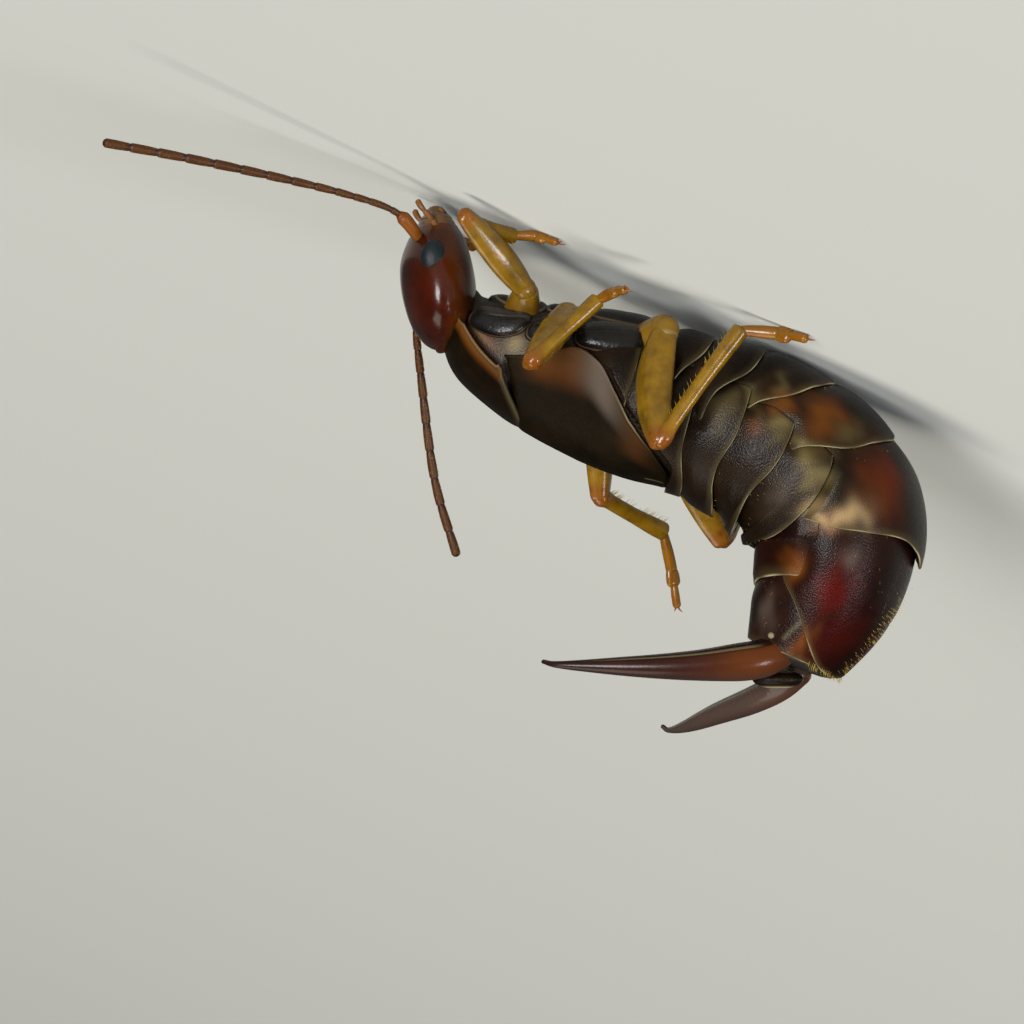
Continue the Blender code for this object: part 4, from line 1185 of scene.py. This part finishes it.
# %% The two blades
FORCEPS = {  # x, y, z and radius from the root to the tip
    "right": [
        (-4.96, -0.23, 4.40, 0.30), (-4.72, -0.38, 4.66, 0.31), (-4.10, -0.48, 5.03, 0.25),
        (-3.39, -0.50, 5.38, 0.20), (-2.50, -0.42, 5.76, 0.15), (-1.90, -0.30, 5.99, 0.09),
        (-1.68, -0.14, 6.02, 0.03),
    ],
    "left": [
        (-5.42, 0.67, 4.44, 0.22), (-5.26, 0.92, 4.72, 0.24), (-4.95, 1.38, 5.06, 0.22),
        (-4.55, 2.05, 5.40, 0.19), (-4.20, 2.75, 5.70, 0.15), (-3.98, 3.26, 5.82, 0.09),
        (-3.86, 3.36, 5.80, 0.03),
    ],
}
reaches = [np.subtract(FORCEPS[name][-1], FORCEPS[name][0])[:3] for name, sign in SIDES]
blade_up = unit(np.cross(*reaches))
RIDGE_ANGLE = math.radians(-90)  # the edge of the blade that points to the floor
SMOOTHING = 21  # steps over which the radius is evened out


def from_ridge(angle):
    """Turn away from the ridge, in radians, without its side."""
    return np.abs(np.arctan2(np.sin(angle - RIDGE_ANGLE), np.cos(angle - RIDGE_ANGLE)))


def blade_section(inner_sign):
    """A blade's section by share of length s and angle a: a raised ridge, a fine groove beside it,
    and small teeth on the inner side of the root."""

    def section(s, a):
        ridge = 0.10 * bell(from_ridge(a), 0, 0.35)
        groove = 0.07 * bell(from_ridge(a), 0.95, 0.10) * (1 - ease(0.75, 0.95, s))
        inner = bell(np.cos(a) * inner_sign, 1, 0.12)
        notches = 0.03 * inner * np.sin(s * 130) ** 2 * ease(0.10, 0.16, s) * (1 - ease(0.24, 0.36, s))
        teeth = notches + 0.20 * inner * bell(s, 0.12, 0.035)
        return 1 + ridge - groove + teeth

    return section


angle = ring_angles(64)
light_side = ease(0.95, 1.20, from_ridge(angle))
for side_name, sign in SIDES:
    rows = np.array(FORCEPS[side_name])
    centres, length = path_points(rows[:, :3], 200)
    s = shares(200)
    radius = np.interp(s, shares(7), rows[:, 3])
    evened = np.pad(radius, SMOOTHING // 2, mode="edge")
    radius = np.convolve(evened, np.ones(SMOOTHING) / SMOOTHING, mode="valid")
    rings = rings_along(centres, radius, 0.95 * radius, blade_up, around=64, shape=blade_section(-sign))
    inner_face = 0.5 - 0.5 * sign * np.cos(angle)
    s = s[:, None]
    blade_paint = {
        "amber": light_side * (1 - 0.8 * inner_face) * (0.85 * (1 - ease(0.12, 0.42, s)) + 0.10),
        "ruby": 0.12 * light_side * ease(0.15, 0.4, s) * (1 - ease(0.55, 0.9, s)),
        "rim": 0.35 * bell(from_ridge(angle), 0.95, 0.08) * (1 - ease(0.6, 0.9, s)) * ease(0.06, 0.14, s),
        "sheen_and_mauve_tint": 0.45 * light_side * inner_face,
    }
    shape = tube(rings, blade_paint, domes=(0.8, 0.8))
    piece("blade_" + side_name, shape, forceps_finish, "forceps", ["forceps_" + side_name])
    print("blade", side_name, round(length, 2), "mm long")

# %% The pygidium and the forceps' hinge knobs
PYGIDIUM_CENTRE = np.array((-5.15, 0.30, 4.72))
PYGIDIUM_SIZE = (0.40, 0.15, 0.26)
KNOB_ROW, KNOB_ANGLE, KNOB_LIFT, KNOB_RADIUS = 10.84, 89.0, 0.045, 0.052  # on the last ring's side
long_way = unit(np.array((0.9135, 0.05, 0.4037)))
flat_way = unit(np.cross(long_way, (0.0, -0.9925, 0.1219)))
depth_way = np.cross(flat_way, long_way)
shape = ball((0, 0, 0), PYGIDIUM_SIZE, place_by(PYGIDIUM_CENTRE, (long_way, flat_way, depth_way)), around=48)
lower = ((shape[0] - PYGIDIUM_CENTRE) @ flat_way) / PYGIDIUM_SIZE[1]
shape = (*shape[:3], {"rim": 0.7 * bell(np.abs(lower), 0.86, 0.10)})
piece("tail_plate", shape, plate_finish, "tip", ["pygidium"])
for side_name, sign in SIDES:
    place = trunk_point([KNOB_ROW], [KNOB_ANGLE * sign], KNOB_LIFT)[0]
    knob = ball((0, 0, 0), (KNOB_RADIUS,) * 3, place_by(place, np.eye(3)), 12, 20)
    # Painted highlight: each knob is pale all over, standing in for the glint on a forceps' hinge.
    shape = (*knob[:3], {"rim": np.full(len(knob[0]), 0.4)})
    piece("painted_glint_knob_" + side_name, shape, forceps_finish, "forceps")
print("tail plate and knobs", made["tail_plate"] + faces_of("painted_glint_knob"), "faces")

# %% [markdown]
# ## Bristles
# Fine golden bristles fringe the last plates and the tibiae, and shorter ones stand all over the
# abdomen and the feelers. Hundreds of them are one mesh of slim three-sided cones, worked out together
# from their roots, directions and lengths. Each has its place on a small map of the skin, so that its
# colour can be baked there.

# %% Joined cones
CHANCE = np.random.default_rng(7)
PATCH = 0.003  # side of a bristle's patch on the map
DROOP = 0.12  # sideways fall of a tip, as a share of the length


def bristles(name, roots, leaning, lengths, radius, patch_places, slot):
    """One mesh of cones: ring k of a bristle is root + leaning * length * level + a droop that grows as
    level^2, with its radius falling to nothing at the tip."""
    count = len(roots)
    leaning = unit(leaning)
    aside = unit(np.cross(leaning, (0.31, 0.52, 0.79)))
    square = np.cross(leaning, aside)
    levels = np.array((0.0, 0.4, 0.75))
    turns = (np.arange(3) * 2 * math.pi / 3)[:, None]
    ring = np.cos(turns) * aside[:, None, None, :] + np.sin(turns) * square[:, None, None, :]
    droop = (aside * DROOP * lengths[:, None])[:, None, None, :] * (levels**2)[None, :, None, None]
    spine = roots[:, None, None, :] + leaning[:, None, None, :] * (lengths[:, None] * levels)[..., None, None]
    rings = spine + droop + ring * (radius * (1 - levels**1.5))[None, :, None, None]
    tips = roots + leaning * lengths[:, None] + aside * DROOP * lengths[:, None]
    points = np.concatenate([rings.reshape(count, 9, 3), tips[:, None, :]], axis=1)
    i = np.arange(3)
    j = (i + 1) % 3
    low = np.stack([i, j, j + 3, i + 3], -1)
    ends = np.stack([i + 6, j + 6, np.full(3, 9)], -1)
    first = 10 * np.arange(count)[:, None, None]
    quads = (np.vstack([low, low + 3])[None] + first).reshape(-1, 4)
    threes = (np.vstack([ends, [(2, 1, 0)]])[None] + first).reshape(-1, 3)
    thing = piece(name, (points.reshape(-1, 3), quads, threes, {}), hair_finish, slot)
    corner_verts = np.zeros(len(thing.data.loops), np.int32)
    thing.data.loops.foreach_get("vertex_index", corner_verts)
    own = np.stack([np.cos(np.arange(10) * 2.4), np.sin(np.arange(10) * 2.4)], -1) * 0.5 * PATCH
    spots = patch_places[corner_verts // 10] + own[corner_verts % 10]
    bake_map = thing.data.uv_layers.new(name="OFBake")
    bake_map.data.foreach_set("uv", np.clip(spots, 0, 1).astype(np.float32).ravel())
    print(name, count)


def trunk_bristles(name, count, row_range, angle_range, length_range, radius, lean):
    """Bristles at chance places of the trunk, leaning from its outward direction to the tail."""
    at = CHANCE.uniform(*row_range, count)
    degrees = CHANCE.uniform(*angle_range, count)
    roots = trunk_point(at, degrees, 0.03)
    outward = unit(trunk_point(at, degrees, 0.5) - trunk_point(at, degrees, 0.0))
    leaning = outward * (1 - lean) + trunk_frames(at)[1] * lean + CHANCE.normal(0, 0.12, (count, 3))
    lengths = CHANCE.uniform(*length_range, count)
    places = np.column_stack([(at - 4) / 7.2, (degrees + 200) / 400])
    bristles(name, roots, leaning, lengths, radius, places, "abdomen")


def limb_bristles(name, rings, count, first_row, spot_range, lean, shake, length_range, radius, slot):
    """Bristles at chance places of a limb's rings, leaning by the two shares outwards and along it."""
    row = CHANCE.integers(first_row, len(rings) - 2, count)
    spot = CHANCE.integers(*spot_range, count) % rings.shape[1]
    roots = rings[row, spot]
    outward = unit(roots - rings[row].mean(1))
    along = unit(rings[row + 1].mean(1) - rings[row - 1].mean(1))
    leaning = outward * lean[0] + along * lean[1] + CHANCE.normal(0, shake, (count, 3))
    places = np.column_stack([row / len(rings), (spot + 0.5) / rings.shape[1]])
    bristles(name, roots, leaning, CHANCE.uniform(*length_range, count), radius, places, slot)


# %% Bristles of the abdomen and the tail's fringe, of the feelers and of the legs' inner sides
trunk_bristles("abdomen_bristles", 700, (5.4, 10.9), (-180, 180), (0.025, 0.05), 0.0016, 0.85)
trunk_bristles("tail_fringe", 110, (9.6, 11.0), (160, 181), (0.07, 0.12), 0.0028, 0.35)
trunk_bristles("tail_end_fringe", 80, (10.94, 11.02), (140, 220), (0.06, 0.11), 0.0028, 0.7)
for name, rings in feeler_rings.items():
    name = "feeler_bristles_" + name
    limb_bristles(name, rings, 420, 2, (0, 20), (0.55, 0.75), 0.1, (0.03, 0.05), 0.0018, "feeler")
for name, rings in shin_rings.items():
    name = "shin_bristles_" + name
    limb_bristles(name, rings, 50, 12, (-2, 3), (0.75, 0.65), 0.08, (0.09, 0.15), 0.0045, "leg")

# %% The count of pieces and faces
print("pieces", len(made), "faces", sum(made.values()))
